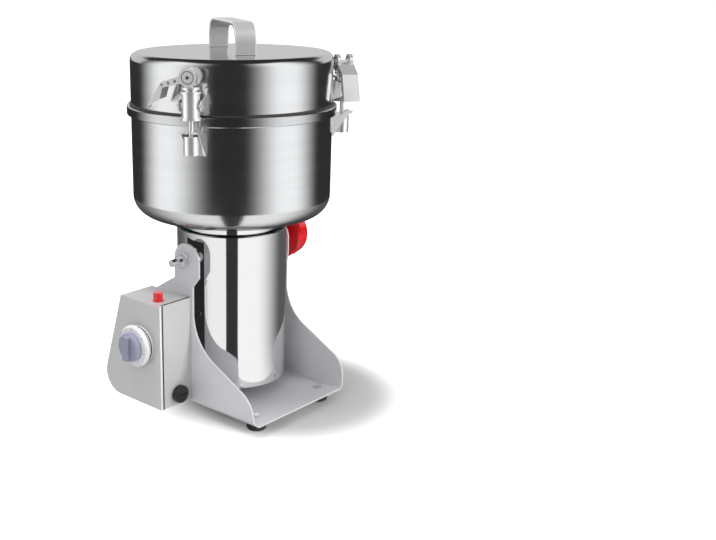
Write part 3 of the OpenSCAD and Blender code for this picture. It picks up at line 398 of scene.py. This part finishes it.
for name, place, size, power in LAMPS:
    light = bpy.data.lights.new(name, "AREA")
    light.shape, light.size, light.energy = "SQUARE", size, power
    lamp = bpy.data.objects.new(name, light)
    lamp.location = place
    lamp.rotation_euler = (LAMP_AIM - Vector(place)).to_track_quat("-Z", "Y").to_euler()
    lamp.visible_glossy = False
    bpy.context.scene.collection.objects.link(lamp)
print("lamps:", [row[0] for row in LAMPS])

# %% [markdown]
# ## Finishes of metal
# Turned steel has fine rings that follow the lathe, so its grain depends on the height on a side
# and on the radius on a flat. Their sum follows both. Rolled sheet has straight grain, polished
# steel only faint smears, and castings an uneven skin. One flat grey would look like plastic, so
# each finish changes its colour, its roughness and its bump a little from place to place.


# %% Turned, brushed and polished metal
TURN_PITCH, TURN_DEPTH, TURN_BANDS = 0.5 * MM, 0.010 * MM, 9 * MM
BRUSH_PITCH, BRUSH_DEPTH, BRUSH_STRETCH = 0.35 * MM, 0.012 * MM, 0.02
# How dark the painted shade at the bowl's foot gets, as a share of the colour.
PAINTED_FOOT_SHADE_SHARE = 0.10


def shades(colour, down, up):
    """A colour made a little darker and a little lighter."""
    return [c * down for c in colour], [min(1, c * up) for c in colour]


def turned_metal(name, colour, roughness, painted_foot_shade=None):
    """Steel with lathe rings round the Z axis. Given two heights, its colour is painted darker from
    the second down to the first, as painted shade for a dark reflection at the bowl's corner."""
    f = Finish(name)
    x, y, z = f.place()
    along = z + f.reach(x, y)
    rings = f.noise(f.join(along / TURN_PITCH, 0, 0), detail=3)
    bands = f.noise(f.join(along / TURN_BANDS, x * 6, y * 6))
    tone = f.mix(bands, *shades(colour, 0.93, 1.05))
    # Painted shade: below the upper height the colour is mixed toward a tenth of itself, for the
    # dark reflection at the bowl's corner.
    if painted_foot_shade:
        tone = f.mix(f.ease(z, *painted_foot_shade), [c * PAINTED_FOOT_SHADE_SHARE for c in colour], tone)
    return f.shade(
        Base__Color=tone,
        Metallic=1.0,
        Roughness=f.stray(roughness, bands, 0.06) + (rings - 0.5) * 0.05,
        Normal=f.bump(rings, TURN_DEPTH),
    )


def brushed_metal(name, colour, roughness, metallic=1.0):
    """Sheet steel with straight upright grain."""
    f = Finish(name)
    x, y, z = f.place()
    stretched = f.join(x / BRUSH_PITCH, y / BRUSH_PITCH, z * BRUSH_STRETCH / BRUSH_PITCH)
    streaks = f.noise(stretched, detail=3)
    clouds = f.noise(f.join(x * 30, y * 30, z * 30))
    return f.shade(
        Base__Color=f.mix(streaks * 0.6 + clouds * 0.4, *shades(colour, 0.90, 1.07)),
        Metallic=metallic,
        Roughness=f.stray(roughness, streaks, 0.12),
        Normal=f.bump(streaks, BRUSH_DEPTH),
    )


def polished_metal(name, colour, roughness, metallic=1.0):
    """Bright metal with faint smears."""
    f = Finish(name)
    x, y, z = f.place()
    smears = f.noise(f.join(x * 40, y * 40, z * 14), detail=3, roughness=0.6)
    return f.shade(
        Base__Color=f.mix(smears, *shades(colour, 0.96, 1)),
        Metallic=metallic,
        Roughness=roughness + (smears - 0.4) * 0.05,
    )


# %% Castings and windings
CAST_GRAIN, CAST_DEPTH = 1.2 * MM, 0.08 * MM
WIRE, WIRE_DEPTH = 0.9 * MM, 0.2 * MM


def cast_metal(name, colour, roughness, metallic=1.0):
    """Cast or varnished metal with an uneven skin."""
    f = Finish(name)
    x, y, z = f.place()
    skin = f.noise(f.join(x / CAST_GRAIN, y / CAST_GRAIN, z / CAST_GRAIN), detail=4, roughness=0.6)
    return f.shade(
        Base__Color=f.mix(skin, *shades(colour, 0.75, 1.2)),
        Metallic=metallic,
        Roughness=f.stray(roughness, skin, 0.2),
        Normal=f.bump(skin, CAST_DEPTH, 0.6),
    )


def wound_wire(name, colour):
    """Varnished copper wire, wound in layers round the Z axis."""
    f = Finish(name)
    x, y, z = f.place()
    turns = f.maths("SINE", (z + f.reach(x, y)) * (math.tau / WIRE))
    clouds = f.noise(f.join(x * 90, y * 90, z * 90))
    return f.shade(
        Base__Color=f.mix(clouds * 0.5 + turns * 0.25 + 0.25, *shades(colour, 0.45, 1)),
        Metallic=0.9,
        Roughness=f.stray(0.34, clouds, 0.1),
        Normal=f.bump(turns, WIRE_DEPTH, 0.8),
    )


# %% [markdown]
# ## Finishes of paint, plastic and rubber
# Powder paint has a fine orange-peel skin. Moulded plastic has a faint flow in its gloss, and
# rubber a matt grain. All three could be one colour with a fixed gloss, but edges and highlights
# then look drawn. A little noise in the colour, the roughness and the bump breaks them up as a
# real surface does.


# %% Paint, plastic and rubber
PEEL, PEEL_DEPTH = 1.1 * MM, 0.03 * MM
MOULD_GRAIN = 0.5 * MM


def powder_paint(name, colour, roughness=0.42):
    f = Finish(name)
    x, y, z = f.place()
    skin = f.noise(f.join(x / PEEL, y / PEEL, z / PEEL), detail=3)
    clouds = f.noise(f.join(x * 22, y * 22, z * 22))
    return f.shade(
        Base__Color=f.mix(clouds * 0.7 + skin * 0.3, *shades(colour, 0.95, 1.04)),
        Roughness=f.stray(roughness, skin, 0.12),
        Normal=f.bump(skin, PEEL_DEPTH),
    )


def moulded(name, colour, roughness, depth=0.01 * MM, coat=0.0, see_through=0.0, glow=0.0):
    """Plastic or rubber from a mould."""
    f = Finish(name)
    x, y, z = f.place()
    skin = f.noise(f.join(x / MOULD_GRAIN, y / MOULD_GRAIN, z / MOULD_GRAIN))
    flow = f.noise(f.join(x * 60, y * 60, z * 25))
    return f.shade(
        Base__Color=f.mix(flow * 0.6 + skin * 0.4, *shades(colour, 0.86, 1.10)),
        Roughness=f.stray(roughness, flow, 0.08) + (skin - 0.5) * 0.06,
        Coat__Weight=coat,
        Transmission__Weight=see_through,
        Emission__Color=(*colour, 1),
        Emission__Strength=glow,
        Normal=f.bump(skin, depth),
    )


# %% The mill's finishes
# The bowl's colour is painted darker over its lowest part: painted shade for the dark reflection at
# its corner.
PAINTED_FOOT_SHADE_HEIGHT = 14 * MM

bowl_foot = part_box("bowl")[0].z
painted_foot_shade_zone = (bowl_foot, bowl_foot + PAINTED_FOOT_SHADE_HEIGHT)
bowl_steel = turned_metal("bowl_steel", (0.74, 0.75, 0.76), 0.16, painted_foot_shade=painted_foot_shade_zone)
lid_steel = turned_metal("lid_steel", (0.74, 0.75, 0.76), 0.16)
mirror_steel = polished_metal("mirror_steel", (0.93, 0.93, 0.93), 0.06)
clamp_chrome = polished_metal("clamp_chrome", (0.97, 0.97, 0.98), 0.10, 0.72)
ring_steel = polished_metal("ring_steel", (0.16, 0.16, 0.17), 0.25, 0.8)
# A near-white copy of the handle's steel for its rounded edges: a painted highlight.
handle_painted_highlight = brushed_metal("handle_painted_highlight", (0.95, 0.95, 0.95), 0.25, metallic=0.6)
box_steel = brushed_metal("box_steel", (0.60, 0.60, 0.605), 0.38, metallic=0.20)
handle_steel = brushed_metal("handle_steel", (0.60, 0.60, 0.61), 0.32, metallic=0.45)
zinc = polished_metal("zinc_plate", (0.82, 0.82, 0.83), 0.16)
ground_steel = turned_metal("ground_steel", (0.62, 0.62, 0.63), 0.28)
# Near-white steel for a painted highlight on the box's edges, and near-black steel for painted
# shade in its seam.
box_painted_highlight = brushed_metal("box_painted_highlight", (0.97, 0.97, 0.97), 0.30, metallic=0.2)
box_painted_seam_shade = brushed_metal("box_painted_seam_shade", (0.12, 0.12, 0.12), 0.50)
band_steel = turned_metal("band_steel", (0.62, 0.63, 0.64), 0.18)
grey_paint = powder_paint("grey_paint", (0.655, 0.655, 0.685))
# A lighter copy of the grey paint for the stand's rounded edges: a painted highlight.
painted_edge_highlight = powder_paint("painted_edge_highlight", (0.88, 0.88, 0.90), 0.30)
tick_ink = moulded("tick_ink", (0.05, 0.05, 0.06), 0.5)
black_rubber = moulded("black_rubber", (0.022, 0.022, 0.024), 0.62, depth=0.04 * MM)
# The lid's gasket is made near black as painted shade, for the shadow line between the lid and the
# bowl's band.
gasket_painted_shade = moulded("gasket_painted_shade", (0.045, 0.045, 0.048), 0.45)
white_nylon = moulded("white_nylon", (0.78, 0.78, 0.75), 0.38)
# Black plastic for the real black parts, and as painted shade in the timer collar's grooves.
black_plastic = moulded("black_plastic", (0.018, 0.018, 0.020), 0.34)
cream_plastic = moulded("cream_plastic", (0.66, 0.62, 0.52), 0.45)
bezel_plastic = moulded("bezel_plastic", (0.86, 0.86, 0.87), 0.20, coat=0.6)
dial_plastic = moulded("dial_plastic", (0.80, 0.80, 0.82), 0.22, coat=0.6)
knob_plastic = moulded("knob_plastic", (0.28, 0.29, 0.39), 0.20, coat=0.6)
red_plastic = moulded("red_plastic", (0.80, 0.006, 0.012), 0.22, coat=0.5)
# The red lens glows a little though the lamp is unlit: painted light for light through the lens.
red_lens = moulded("red_lens", (0.76, 0.010, 0.020), 0.12, coat=1.0, see_through=0.25, glow=0.12)
black_casting = cast_metal("black_casting", (0.016, 0.016, 0.018), 0.5, metallic=0.0)
grey_casting = cast_metal("grey_casting", (0.52, 0.53, 0.54), 0.45)
core_iron = cast_metal("core_iron", (0.22, 0.22, 0.23), 0.5)
copper_wire = wound_wire("copper_wire", (0.75, 0.33, 0.14))
commutator_copper = polished_metal("commutator_copper", (0.80, 0.42, 0.24), 0.25)
holder_brass = brushed_metal("holder_brass", (0.78, 0.60, 0.28), 0.32)
print("finishes:", len(bpy.data.materials))

# %% [markdown]
# ## Tools for shaping
# A turned piece is its half outline, spun once round. A full spin merges its last step with its
# first. Real edges are never sharp. Where a radius matters, as on the bowl's corner, the edge is
# rounded with the bevel operator. Where it only has to catch light, a Bevel modifier does it,
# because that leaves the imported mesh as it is.

# %% Spinning and rounding
WELD = 1e-6
CLOSE = 0.02 * MM
SHARP = math.radians(30)


def spin(outline, steps):
    """Spins a half outline of (radius, height) about Z. It is closed unless both ends are on the
    axis."""
    bm = bmesh.new()
    points = [bm.verts.new((radius, 0, height)) for radius, height in outline]
    sides = [bm.edges.new(pair) for pair in zip(points, points[1:])]
    if outline[0][0] or outline[-1][0]:
        sides.append(bm.edges.new((points[-1], points[0])))
    bmesh.ops.spin(
        bm,
        geom=points + sides,
        cent=(0, 0, 0),
        axis=(0, 0, 1),
        angle=math.tau,
        steps=steps,
        use_merge=True,
    )
    bmesh.ops.remove_doubles(bm, verts=bm.verts, dist=WELD)
    bmesh.ops.dissolve_degenerate(bm, edges=bm.edges, dist=WELD)
    bmesh.ops.recalc_face_normals(bm, faces=bm.faces)
    return bm


def bevel(bm, edges, width, segments):
    bmesh.ops.bevel(
        bm,
        geom=edges,
        offset=width,
        offset_type="OFFSET",
        segments=segments,
        profile=0.5,
        affect="EDGES",
        clamp_overlap=True,
        material=-1,
    )


def round_rings(bm, rows):
    """Rounds circular edges, given by their radius and height and the round's width and steps."""
    for radius, height, width, segments in rows:
        circle = []
        for edge in bm.edges:
            off = [max(abs(v.co.xy.length - radius), abs(v.co.z - height)) for v in edge.verts]
            if max(off) < CLOSE:
                circle.append(edge)
        bevel(bm, circle, width, segments)


# %% Finishing new pieces and packed ones
FLAT_ANGLE = math.radians(0.3)
SMOOTH_ANGLE = math.radians(35)


def weigh_normals(piece):
    """Lets large faces rule the shading, so that flats stay flat beside round edges."""
    weigh = piece.modifiers.new("weigh_normals", "WEIGHTED_NORMAL")
    weigh.keep_sharp = True


def finish_piece(name, bm, material, body, replaced=(), extra=()):
    """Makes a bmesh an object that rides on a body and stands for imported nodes."""
    mesh = bpy.data.meshes.new(name)
    bm.to_mesh(mesh)
    bm.free()
    mesh.shade_smooth()
    mesh.set_sharp_from_angle(angle=SMOOTH_ANGLE)
    for finish in [material, *extra]:
        mesh.materials.append(finish)
    piece = bpy.data.objects.new(name, mesh)
    bpy.context.scene.collection.objects.link(piece)
    weigh_normals(piece)
    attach(piece, body)
    if replaced:
        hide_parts(*replaced)
    print(f"{name}: {len(mesh.polygons)} faces on {body}")
    return piece


def dress(name, material, edge, edge_highlight=None, steps=2):
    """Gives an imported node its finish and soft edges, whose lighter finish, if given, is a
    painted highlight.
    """
    node = nodes[name]
    node.data.materials.clear()
    node.data.materials.append(material)
    if edge_highlight:
        node.data.materials.append(edge_highlight)
    weld = node.modifiers.new("weld", "WELD")
    weld.merge_threshold = WELD
    flat = node.modifiers.new("whole_flats", "DECIMATE")
    flat.decimate_type, flat.angle_limit = "DISSOLVE", FLAT_ANGLE
    soft = node.modifiers.new("soft_edges", "BEVEL")
    soft.width, soft.segments = edge, steps
    soft.material = 1 if edge_highlight else -1
    soft.limit_method, soft.angle_limit = "ANGLE", SHARP
    weigh_normals(node)


# %% [markdown]
# ## Bowl and lid
# The bowl is drawn from one steel disc, so its floor runs into its side with a large radius, and
# a thick band is rolled round its rim. The lid is the same cup upside down with a tighter corner.
# A cylinder could be extruded and bevelled for each, but both are turned and polished on a lathe,
# and an outline that is spun once round is the same way of working. The band has a finish of its
# own.

# %% Bowl
FINE_STEPS = 256
BOWL_WALL = 2 * MM
BOWL_CORNER = 22 * MM
BAND_HEIGHT = 10 * MM
BAND_OUT = 4.5 * MM
BAND_SOFT = 1.3 * MM
BAND_FROM = 0.6 * MM
SEAL_RADIUS = 14.05 * MM

bowl_low, bowl_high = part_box("bowl")
bowl_radius = bowl_high.x - BAND_OUT
bowl_inside = bowl_radius - BOWL_WALL
bowl_floor = bowl_low.z + BOWL_WALL
band_foot = bowl_high.z - BAND_HEIGHT
bowl = spin(
    [
        (SEAL_RADIUS, bowl_low.z),
        (bowl_radius, bowl_low.z),
        (bowl_radius, band_foot),
        (bowl_high.x, band_foot),
        (bowl_high.x, bowl_high.z),
        (bowl_inside, bowl_high.z),
        (bowl_inside, bowl_floor),
        (SEAL_RADIUS, bowl_floor),
    ],
    FINE_STEPS,
)
bowl_rounds = [
    (bowl_radius, bowl_low.z, BOWL_CORNER, 14),
    (bowl_inside, bowl_floor, BOWL_CORNER - BOWL_WALL, 14),
    (bowl_high.x, bowl_high.z, BAND_SOFT, 4),
    (bowl_high.x, band_foot, BAND_SOFT, 4),
    (bowl_radius, band_foot, 0.5 * MM, 2),
    (bowl_inside, bowl_high.z, 0.4 * MM, 2),
]
round_rings(bowl, bowl_rounds)
for face in bowl.faces:
    face.material_index = int(all(v.co.xy.length > bowl_radius + BAND_FROM for v in face.verts))
finish_piece(
    "bowl_turned", bowl, bowl_steel, "motor_unit", ["bowl"], [band_steel]
)

# %% Lid
LID_WALL = 1.5 * MM
LID_CORNER = 9 * MM

lid_low, lid_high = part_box("lid")
lid_inside = lid_high.x - LID_WALL
lid_ceiling = lid_high.z - LID_WALL
lid = spin(
    [
        (0, lid_high.z),
        (lid_high.x, lid_high.z),
        (lid_high.x, lid_low.z),
        (lid_inside, lid_low.z),
        (lid_inside, lid_ceiling),
        (0, lid_ceiling),
    ],
    FINE_STEPS,
)
lid_rounds = [
    (lid_high.x, lid_high.z, LID_CORNER, 10),
    (lid_inside, lid_ceiling, LID_CORNER - LID_WALL, 8),
    (lid_high.x, lid_low.z, 0.5 * MM, 2),
]
round_rings(lid, lid_rounds)
finish_piece("lid_turned", lid, lid_steel, "motor_unit", ["lid"])

# %% [markdown]
# ## Motor tube and collar
# The tube is thin steel rolled and polished like a mirror, with a rolled lip at its top. The
# narrower collar stands inside it and carries the bowl, and a black gap stays between the two.
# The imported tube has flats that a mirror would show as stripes, so both are spun again with many
# steps.

# %% Tube and collar
TUBE_WALL = 1.5 * MM
LIP_HEIGHT = 2 * MM
LIP_OUT = 0.8 * MM
COLLAR_WALL = 6 * MM
COLLAR_SOFT = 0.3 * MM

tube_low, tube_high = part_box("motor_tube")
tube_radius = tube_high.x - LIP_OUT
tube_inside = tube_radius - TUBE_WALL
lip_foot = tube_high.z - LIP_HEIGHT
tube = spin(
    [
        (tube_inside, tube_low.z),
        (tube_radius, tube_low.z),
        (tube_radius, lip_foot),
        (tube_high.x, lip_foot),
        (tube_high.x, tube_high.z),
        (tube_inside, tube_high.z),
    ],
    FINE_STEPS,
)
tube_rounds = [
    (tube_high.x, tube_high.z, 0.75 * MM, 4),
    (tube_inside, tube_high.z, 0.6 * MM, 3),
    (tube_radius, tube_low.z, 0.5 * MM, 3),
]
round_rings(tube, tube_rounds)
finish_piece("tube_polished", tube, mirror_steel, "motor_unit", ["motor_tube"])

collar_low, collar_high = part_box("bowl_collar")
collar_inside = collar_high.x - COLLAR_WALL
collar = spin(
    [
        (collar_inside, collar_low.z),
        (collar_high.x, collar_low.z),
        (collar_high.x, collar_high.z),
        (collar_inside, collar_high.z),
    ],
    FINE_STEPS,
)
sharp_edges = [e for e in collar.edges if len(e.link_faces) == 2 and e.calc_face_angle(0) > SHARP]
bevel(collar, sharp_edges, COLLAR_SOFT, 2)
finish_piece("collar_polished", collar, mirror_steel, "motor_unit", ["bowl_collar"])

# %% [markdown]
# ## Control box
# The box is folded from brushed sheet. Its side panel laps over the front and the roof with a
# narrow edge, and a seam runs behind that edge. The imported shell already has every hole, so
# it isn't built anew: its loose triangles are merged, the copy is cut twice next to the outer
# side, and the strip between the cuts is sunk to make the seam. A line that is only painted on
# would catch no light. The narrow edge and the box's rounded edges get near-white steel, which
# is a painted highlight, and the sunk seam gets near-black steel, which is painted shade.

# %% A clean copy of the imported shell, cut beside the seam
SEAM_FROM, SEAM_WIDE = 2.6 * MM, 2.2 * MM
ROOF_SEAM_FROM, ROOF_SEAM_WIDE = 1.0 * MM, 2.6 * MM

box_low, box_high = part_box("box_shell")
box = bmesh.new()
box.from_mesh(nodes["box_shell"].data)
bmesh.ops.remove_doubles(box, verts=box.verts, dist=WELD)
bmesh.ops.dissolve_limit(
    box, angle_limit=FLAT_ANGLE, verts=box.verts, edges=box.edges, use_dissolve_boundaries=False
)
side_cuts = [box_low.x + SEAM_FROM, box_low.x + SEAM_FROM + SEAM_WIDE]
roof_cuts = [box_low.y + ROOF_SEAM_FROM, box_low.y + ROOF_SEAM_FROM + ROOF_SEAM_WIDE]
planes = [((x, 0, 0), (1, 0, 0)) for x in side_cuts] + [((0, y, 0), (0, 1, 0)) for y in roof_cuts]
for place, normal in planes:
    whole = box.verts[:] + box.edges[:] + box.faces[:]
    bmesh.ops.bisect_plane(box, geom=whole, dist=WELD, plane_co=place, plane_no=normal)
print("box copy:", len(box.faces), "faces after", len(planes), "cuts")

# %% Box with its seam
SEAM_DEEP, SEAM_INSET = 0.5 * MM, 0.05 * MM
FACING = 0.99
SKIN = 0.1 * MM
BOX_SOFT, BOX_SHARP = 0.6 * MM, math.radians(60)

edge_faces, seam_faces = [], []
for face in box.faces:
    middle = face.calc_center_median()
    on_front = face.normal.y < -FACING and middle.y < box_low.y + SKIN
    on_roof = face.normal.z > FACING and middle.z > box_high.z - SKIN
    if on_front and middle.x < side_cuts[0]:
        edge_faces.append(face)
    elif on_front and middle.x < side_cuts[1]:
        seam_faces.append(face)
    elif on_roof and middle.x > side_cuts[1] and roof_cuts[0] < middle.y < roof_cuts[1]:
        seam_faces.append(face)
# Painted highlight on the strip beside the side panel.
for face in edge_faces:
    face.material_index = 1
sunk = bmesh.ops.inset_region(
    box, faces=seam_faces, thickness=SEAM_INSET, depth=-SEAM_DEEP, use_even_offset=True
)
# Painted shade in the sunk seam.
for face in seam_faces + sunk["faces"]:
    face.material_index = 2
bmesh.ops.recalc_face_normals(box, faces=box.faces)
print("seam:", len(seam_faces), "faces sunk,", len(edge_faces), "edge faces")
box_extra = [box_painted_highlight, box_painted_seam_shade]
box_piece = finish_piece(
    "box_folded", box, box_steel, "base", ["box_shell"], box_extra
)
box_bevel = box_piece.modifiers.new("soft_edges", "BEVEL")
box_bevel.width, box_bevel.segments = BOX_SOFT, 2
box_bevel.limit_method, box_bevel.angle_limit = "ANGLE", BOX_SHARP
# The rounded edges take the painted highlight too.
box_bevel.material = 1

# %% [markdown]
# ## Timer collar
# The collar between the box and the dial is a turned plastic ring with a slight taper, and two
# dark grooves run round it. Grooves could be a pattern in the material, but real ones change the
# rim's outline and catch the light, so they are part of the outline that is spun. Their faces are
# black as well, which is painted shade. The collar is spun about Z and then turned to face the
# box's side.

# %% Collar with two grooves
TIMER_STEPS = 128
GROOVES = [(1.3 * MM, 2.5 * MM), (3.4 * MM, 4.6 * MM)]
GROOVE_DEEP = 0.5 * MM
TIMER_TAPER = 0.3
TIMER_BORE = 9 * MM
TIMER_SOFT = 0.8 * MM

bezel_low, bezel_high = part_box("timer_bezel")
timer_y = (bezel_low.y + bezel_high.y) / 2
timer_z = (bezel_low.z + bezel_high.z) / 2
bezel_radius = (bezel_high.z - bezel_low.z) / 2
bezel_depth = bezel_high.x - bezel_low.x


def side_at(height):
    """The collar's radius at a height above the box."""
    return bezel_radius - height * TIMER_TAPER


bezel_outline = [(TIMER_BORE, 0), (bezel_radius, 0)]
for start, end in GROOVES:
    bezel_outline += [(side_at(start), start), (side_at(start) - GROOVE_DEEP, start)]
    bezel_outline += [(side_at(end) - GROOVE_DEEP, end), (side_at(end), end)]
bezel_outline += [(side_at(bezel_depth), bezel_depth), (TIMER_BORE, bezel_depth)]
bezel = spin(bezel_outline, TIMER_STEPS)
# Faces deep in a groove get black plastic, which is painted shade.
for face in bezel.faces:
    middle = face.calc_center_median()
    in_groove = any(start < middle.z < end for start, end in GROOVES)
    face.material_index = int(in_groove and middle.xy.length > TIMER_BORE + MM)
round_rings(bezel, [(side_at(bezel_depth), bezel_depth, TIMER_SOFT, 3)])
facing_left = Matrix.Rotation(-math.pi / 2, 4, "Y")
to_side = Matrix.Translation((bezel_high.x, timer_y, timer_z)) @ facing_left
bmesh.ops.transform(bezel, matrix=to_side, verts=bezel.verts)
finish_piece(
    "timer_collar", bezel, bezel_plastic, "base", ["timer_bezel"], [black_plastic]
)

# %% [markdown]
# ## Timer scale
# The dial is a moulded disc with a printed scale, and it turns with the knob. Ticks could be a
# pattern in the material, but numbers are hard to draw with nodes. So the ticks and plain numbers
# are thin dark plates on the disc's face. Each number is a text that is made a mesh before it
# takes its place.

# %% Ticks
INK = 0.12 * MM
TICKS, LONG_EVERY, SWEEP = 30, 5, 300
LONG_TICK, SHORT_TICK = (2.2 * MM, 0.5 * MM), (1.2 * MM, 0.3 * MM)
TICK_IN = 1.4 * MM

dial_low, dial_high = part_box("timer_dial")
dial_radius = (dial_high.z - dial_low.z) / 2
upright = facing_left @ Matrix.Rotation(-math.pi / 2, 4, "Z")
to_dial = Matrix.Translation((dial_low.x, timer_y, timer_z)) @ upright


def on_scale(i):
    """Turns from the top of the dial to the i-th tick."""
    return to_dial @ Matrix.Rotation(math.radians(-i * SWEEP / TICKS), 4, "Z")


scale = bmesh.new()
for i in range(TICKS + 1):
    length, wide = SHORT_TICK if i % LONG_EVERY else LONG_TICK
    outward = Matrix.Translation((0, dial_radius - TICK_IN - length / 2, 0))
    tick = outward @ Matrix.Diagonal((wide, length, INK, 1))
    bmesh.ops.create_cube(scale, size=1, matrix=on_scale(i) @ tick)
print("ticks:", TICKS + 1)

# %% Numbers
NUMBER_HEIGHT, NUMBER_IN = 2.6 * MM, 5.0 * MM


def number_mesh(words, height):
    """A number as a thin plate of given height, centred on the origin."""
    curve = bpy.data.curves.new("number", "FONT")
    curve.body, curve.size, curve.extrude = words, height, INK / 2
    curve.align_x, curve.align_y = "CENTER", "CENTER"
    writing = bpy.data.objects.new("number", curve)
    mesh = bpy.data.meshes.new_from_object(writing)
    bpy.data.objects.remove(writing)
    bpy.data.curves.remove(curve)
    return mesh


for i in range(0, TICKS, LONG_EVERY):
    number = number_mesh(str(i), NUMBER_HEIGHT)
    number.transform(on_scale(i) @ Matrix.Translation((0, dial_radius - NUMBER_IN, 0)))
    scale.from_mesh(number)
    bpy.data.meshes.remove(number)
finish_piece("dial_scale", scale, tick_ink, "timer")

# %% [markdown]
# ## Ends of the lever pins
# Each lever turns on a pin that points away from the mill's axis. The pin's ends are riveted
# over, and a raised ring runs round them on the lever's round cheeks. The photograph shows them
# as dark circles, and drawn circles would lie flat in the chrome. So a rivet head and a ring are
# spun once each, and set on both ends of the three pins. The heads stay with the clamp, and the
# rings turn with the lever.

# %% Rivet heads and rings
FIRST_CLAMP = 204.9  # degrees round the mill's axis
LEVER_HALF = 9 * MM
PIN_STEPS = 48
HEAD_RADIUS, HEAD_OUT = 2.6 * MM, 0.9 * MM
RING_OUTER, RING_INNER, RING_OUT = 6.5 * MM, 5.7 * MM, 0.4 * MM
RING_SLOPE = RING_OUT * 0.5
SUNK = 0.3 * MM

rivet_head = [
    (0, -SUNK),
    (HEAD_RADIUS, -SUNK),
    (HEAD_RADIUS, HEAD_OUT * 0.55),
    (HEAD_RADIUS * 0.8, HEAD_OUT * 0.88),
    (0, HEAD_OUT),
]
raised_ring = [
    (RING_INNER, -SUNK),
    (RING_OUTER, -SUNK),
    (RING_OUTER, RING_SLOPE),
    (RING_OUTER - RING_SLOPE, RING_OUT),
    (RING_INNER + RING_SLOPE, RING_OUT),
    (RING_INNER, RING_SLOPE),
]


def at_pin_ends(outline, i):
    """Two copies of a spun piece, one on each end of a clamp's pin, facing outward."""
    low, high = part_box(f"lever_pin_{i}")
    turn = math.radians(FIRST_CLAMP + (i - 1) * 120)
    along = Vector((math.cos(turn), math.sin(turn), 0))
    pair = bmesh.new()
    for side in (1, -1):
        end = spin(outline, PIN_STEPS)
        facing = (side * along).to_track_quat("Z", "Y").to_matrix().to_4x4()
        place = Matrix.Translation((low + high) / 2 + side * along * LEVER_HALF) @ facing
        bmesh.ops.transform(end, matrix=place, verts=end.verts)
        mesh = bpy.data.meshes.new("end")
        end.to_mesh(mesh)
        end.free()
        pair.from_mesh(mesh)
        bpy.data.meshes.remove(mesh)
    return pair


for i in (1, 2, 3):
    rings, heads = at_pin_ends(raised_ring, i), at_pin_ends(rivet_head, i)
    finish_piece(f"lever_rings_{i}", rings, ring_steel, f"lever_{i}")
    finish_piece(f"pin_heads_{i}", heads, ring_steel, f"clamp_{i}")

# %% [markdown]
# ## Imported pieces
# The other pieces keep their imported shape: the bent stand, the handle, the clamps, the knobs, and
# all that is inside. They could be modelled again, but their shape is right, and only their edges
# are too sharp. So each gets its finish and an edge radius that suits how it is made. On the stand
# and the handle's strap the rounded edges get a lighter finish, which is a painted highlight.

# %% Finishes of the imported nodes
CLAMP_PARTS = ["clamp_barrel", "clamp_rod", "lever_pin", "clamp_lever"]

# Names, finish and edge radius in mm, and where it matters the edge's painted highlight and its
# steps
DRESSING = [
    (["stand_bracket"], grey_paint, 0.8, painted_edge_highlight),
    (["rubber_feet"], black_rubber, 0.8),
    (["shaft_seal"], black_rubber, 0.3),
    (["foot_screws", "box_screws", "bowl_screws"], zinc, 0.4),
    (["pivot_stud", "pivot_nut", "lock_stud", "blade_nut"], zinc, 0.4),
    (["pivot_bushes"], white_nylon, 0.2),
    (["lid_handle"], handle_steel, 1.3, handle_painted_highlight, 3),
    (["lid_gasket"], gasket_painted_shade, 0.2),
    (["pivot_bosses"], mirror_steel, 0.2),
    (["clamp_catches", "clamp_brackets"], clamp_chrome, 0.35),
    ([f"{part}_{i}" for part in CLAMP_PARTS for i in (1, 2, 3)], clamp_chrome, 0.4),
    (["timer_dial"], dial_plastic, 0.8, None, 3),
    (["timer_knob"], knob_plastic, 0.9, None, 3),
    (["timer_spindle", "motor_shaft", "bearings", "blade_spacers"], ground_steel, 0.2),
    (["lower_blade", "upper_blade"], ground_steel, 0.15),
    (["timer_body", "lamp_body", "fuse_holder", "cable_gland"], black_plastic, 0.3),
    (["vent_cover", "fuse_cap", "cooling_fan"], black_plastic, 0.3),
    (["terminal_block"], cream_plastic, 0.3),
    (["lamp_lens"], red_lens, 0.3),
    (["lock_knob"], red_plastic, 2.8, None, 5),
    (["upper_end_frame"], black_casting, 0.4),
    (["lower_end_frame"], grey_casting, 0.4),
    (["stator_core", "armature_core"], core_iron, 0.2),
    (["field_coils", "armature_winding"], copper_wire, 1.0),
    (["commutator"], commutator_copper, 0.1),
    (["brush_holders"], holder_brass, 0.2),
]
for names, material, edge, *more in DRESSING:
    for name in names:
        dress(name, material, edge * MM, *more)
print("dressed nodes:", sum(len(row[0]) for row in DRESSING))
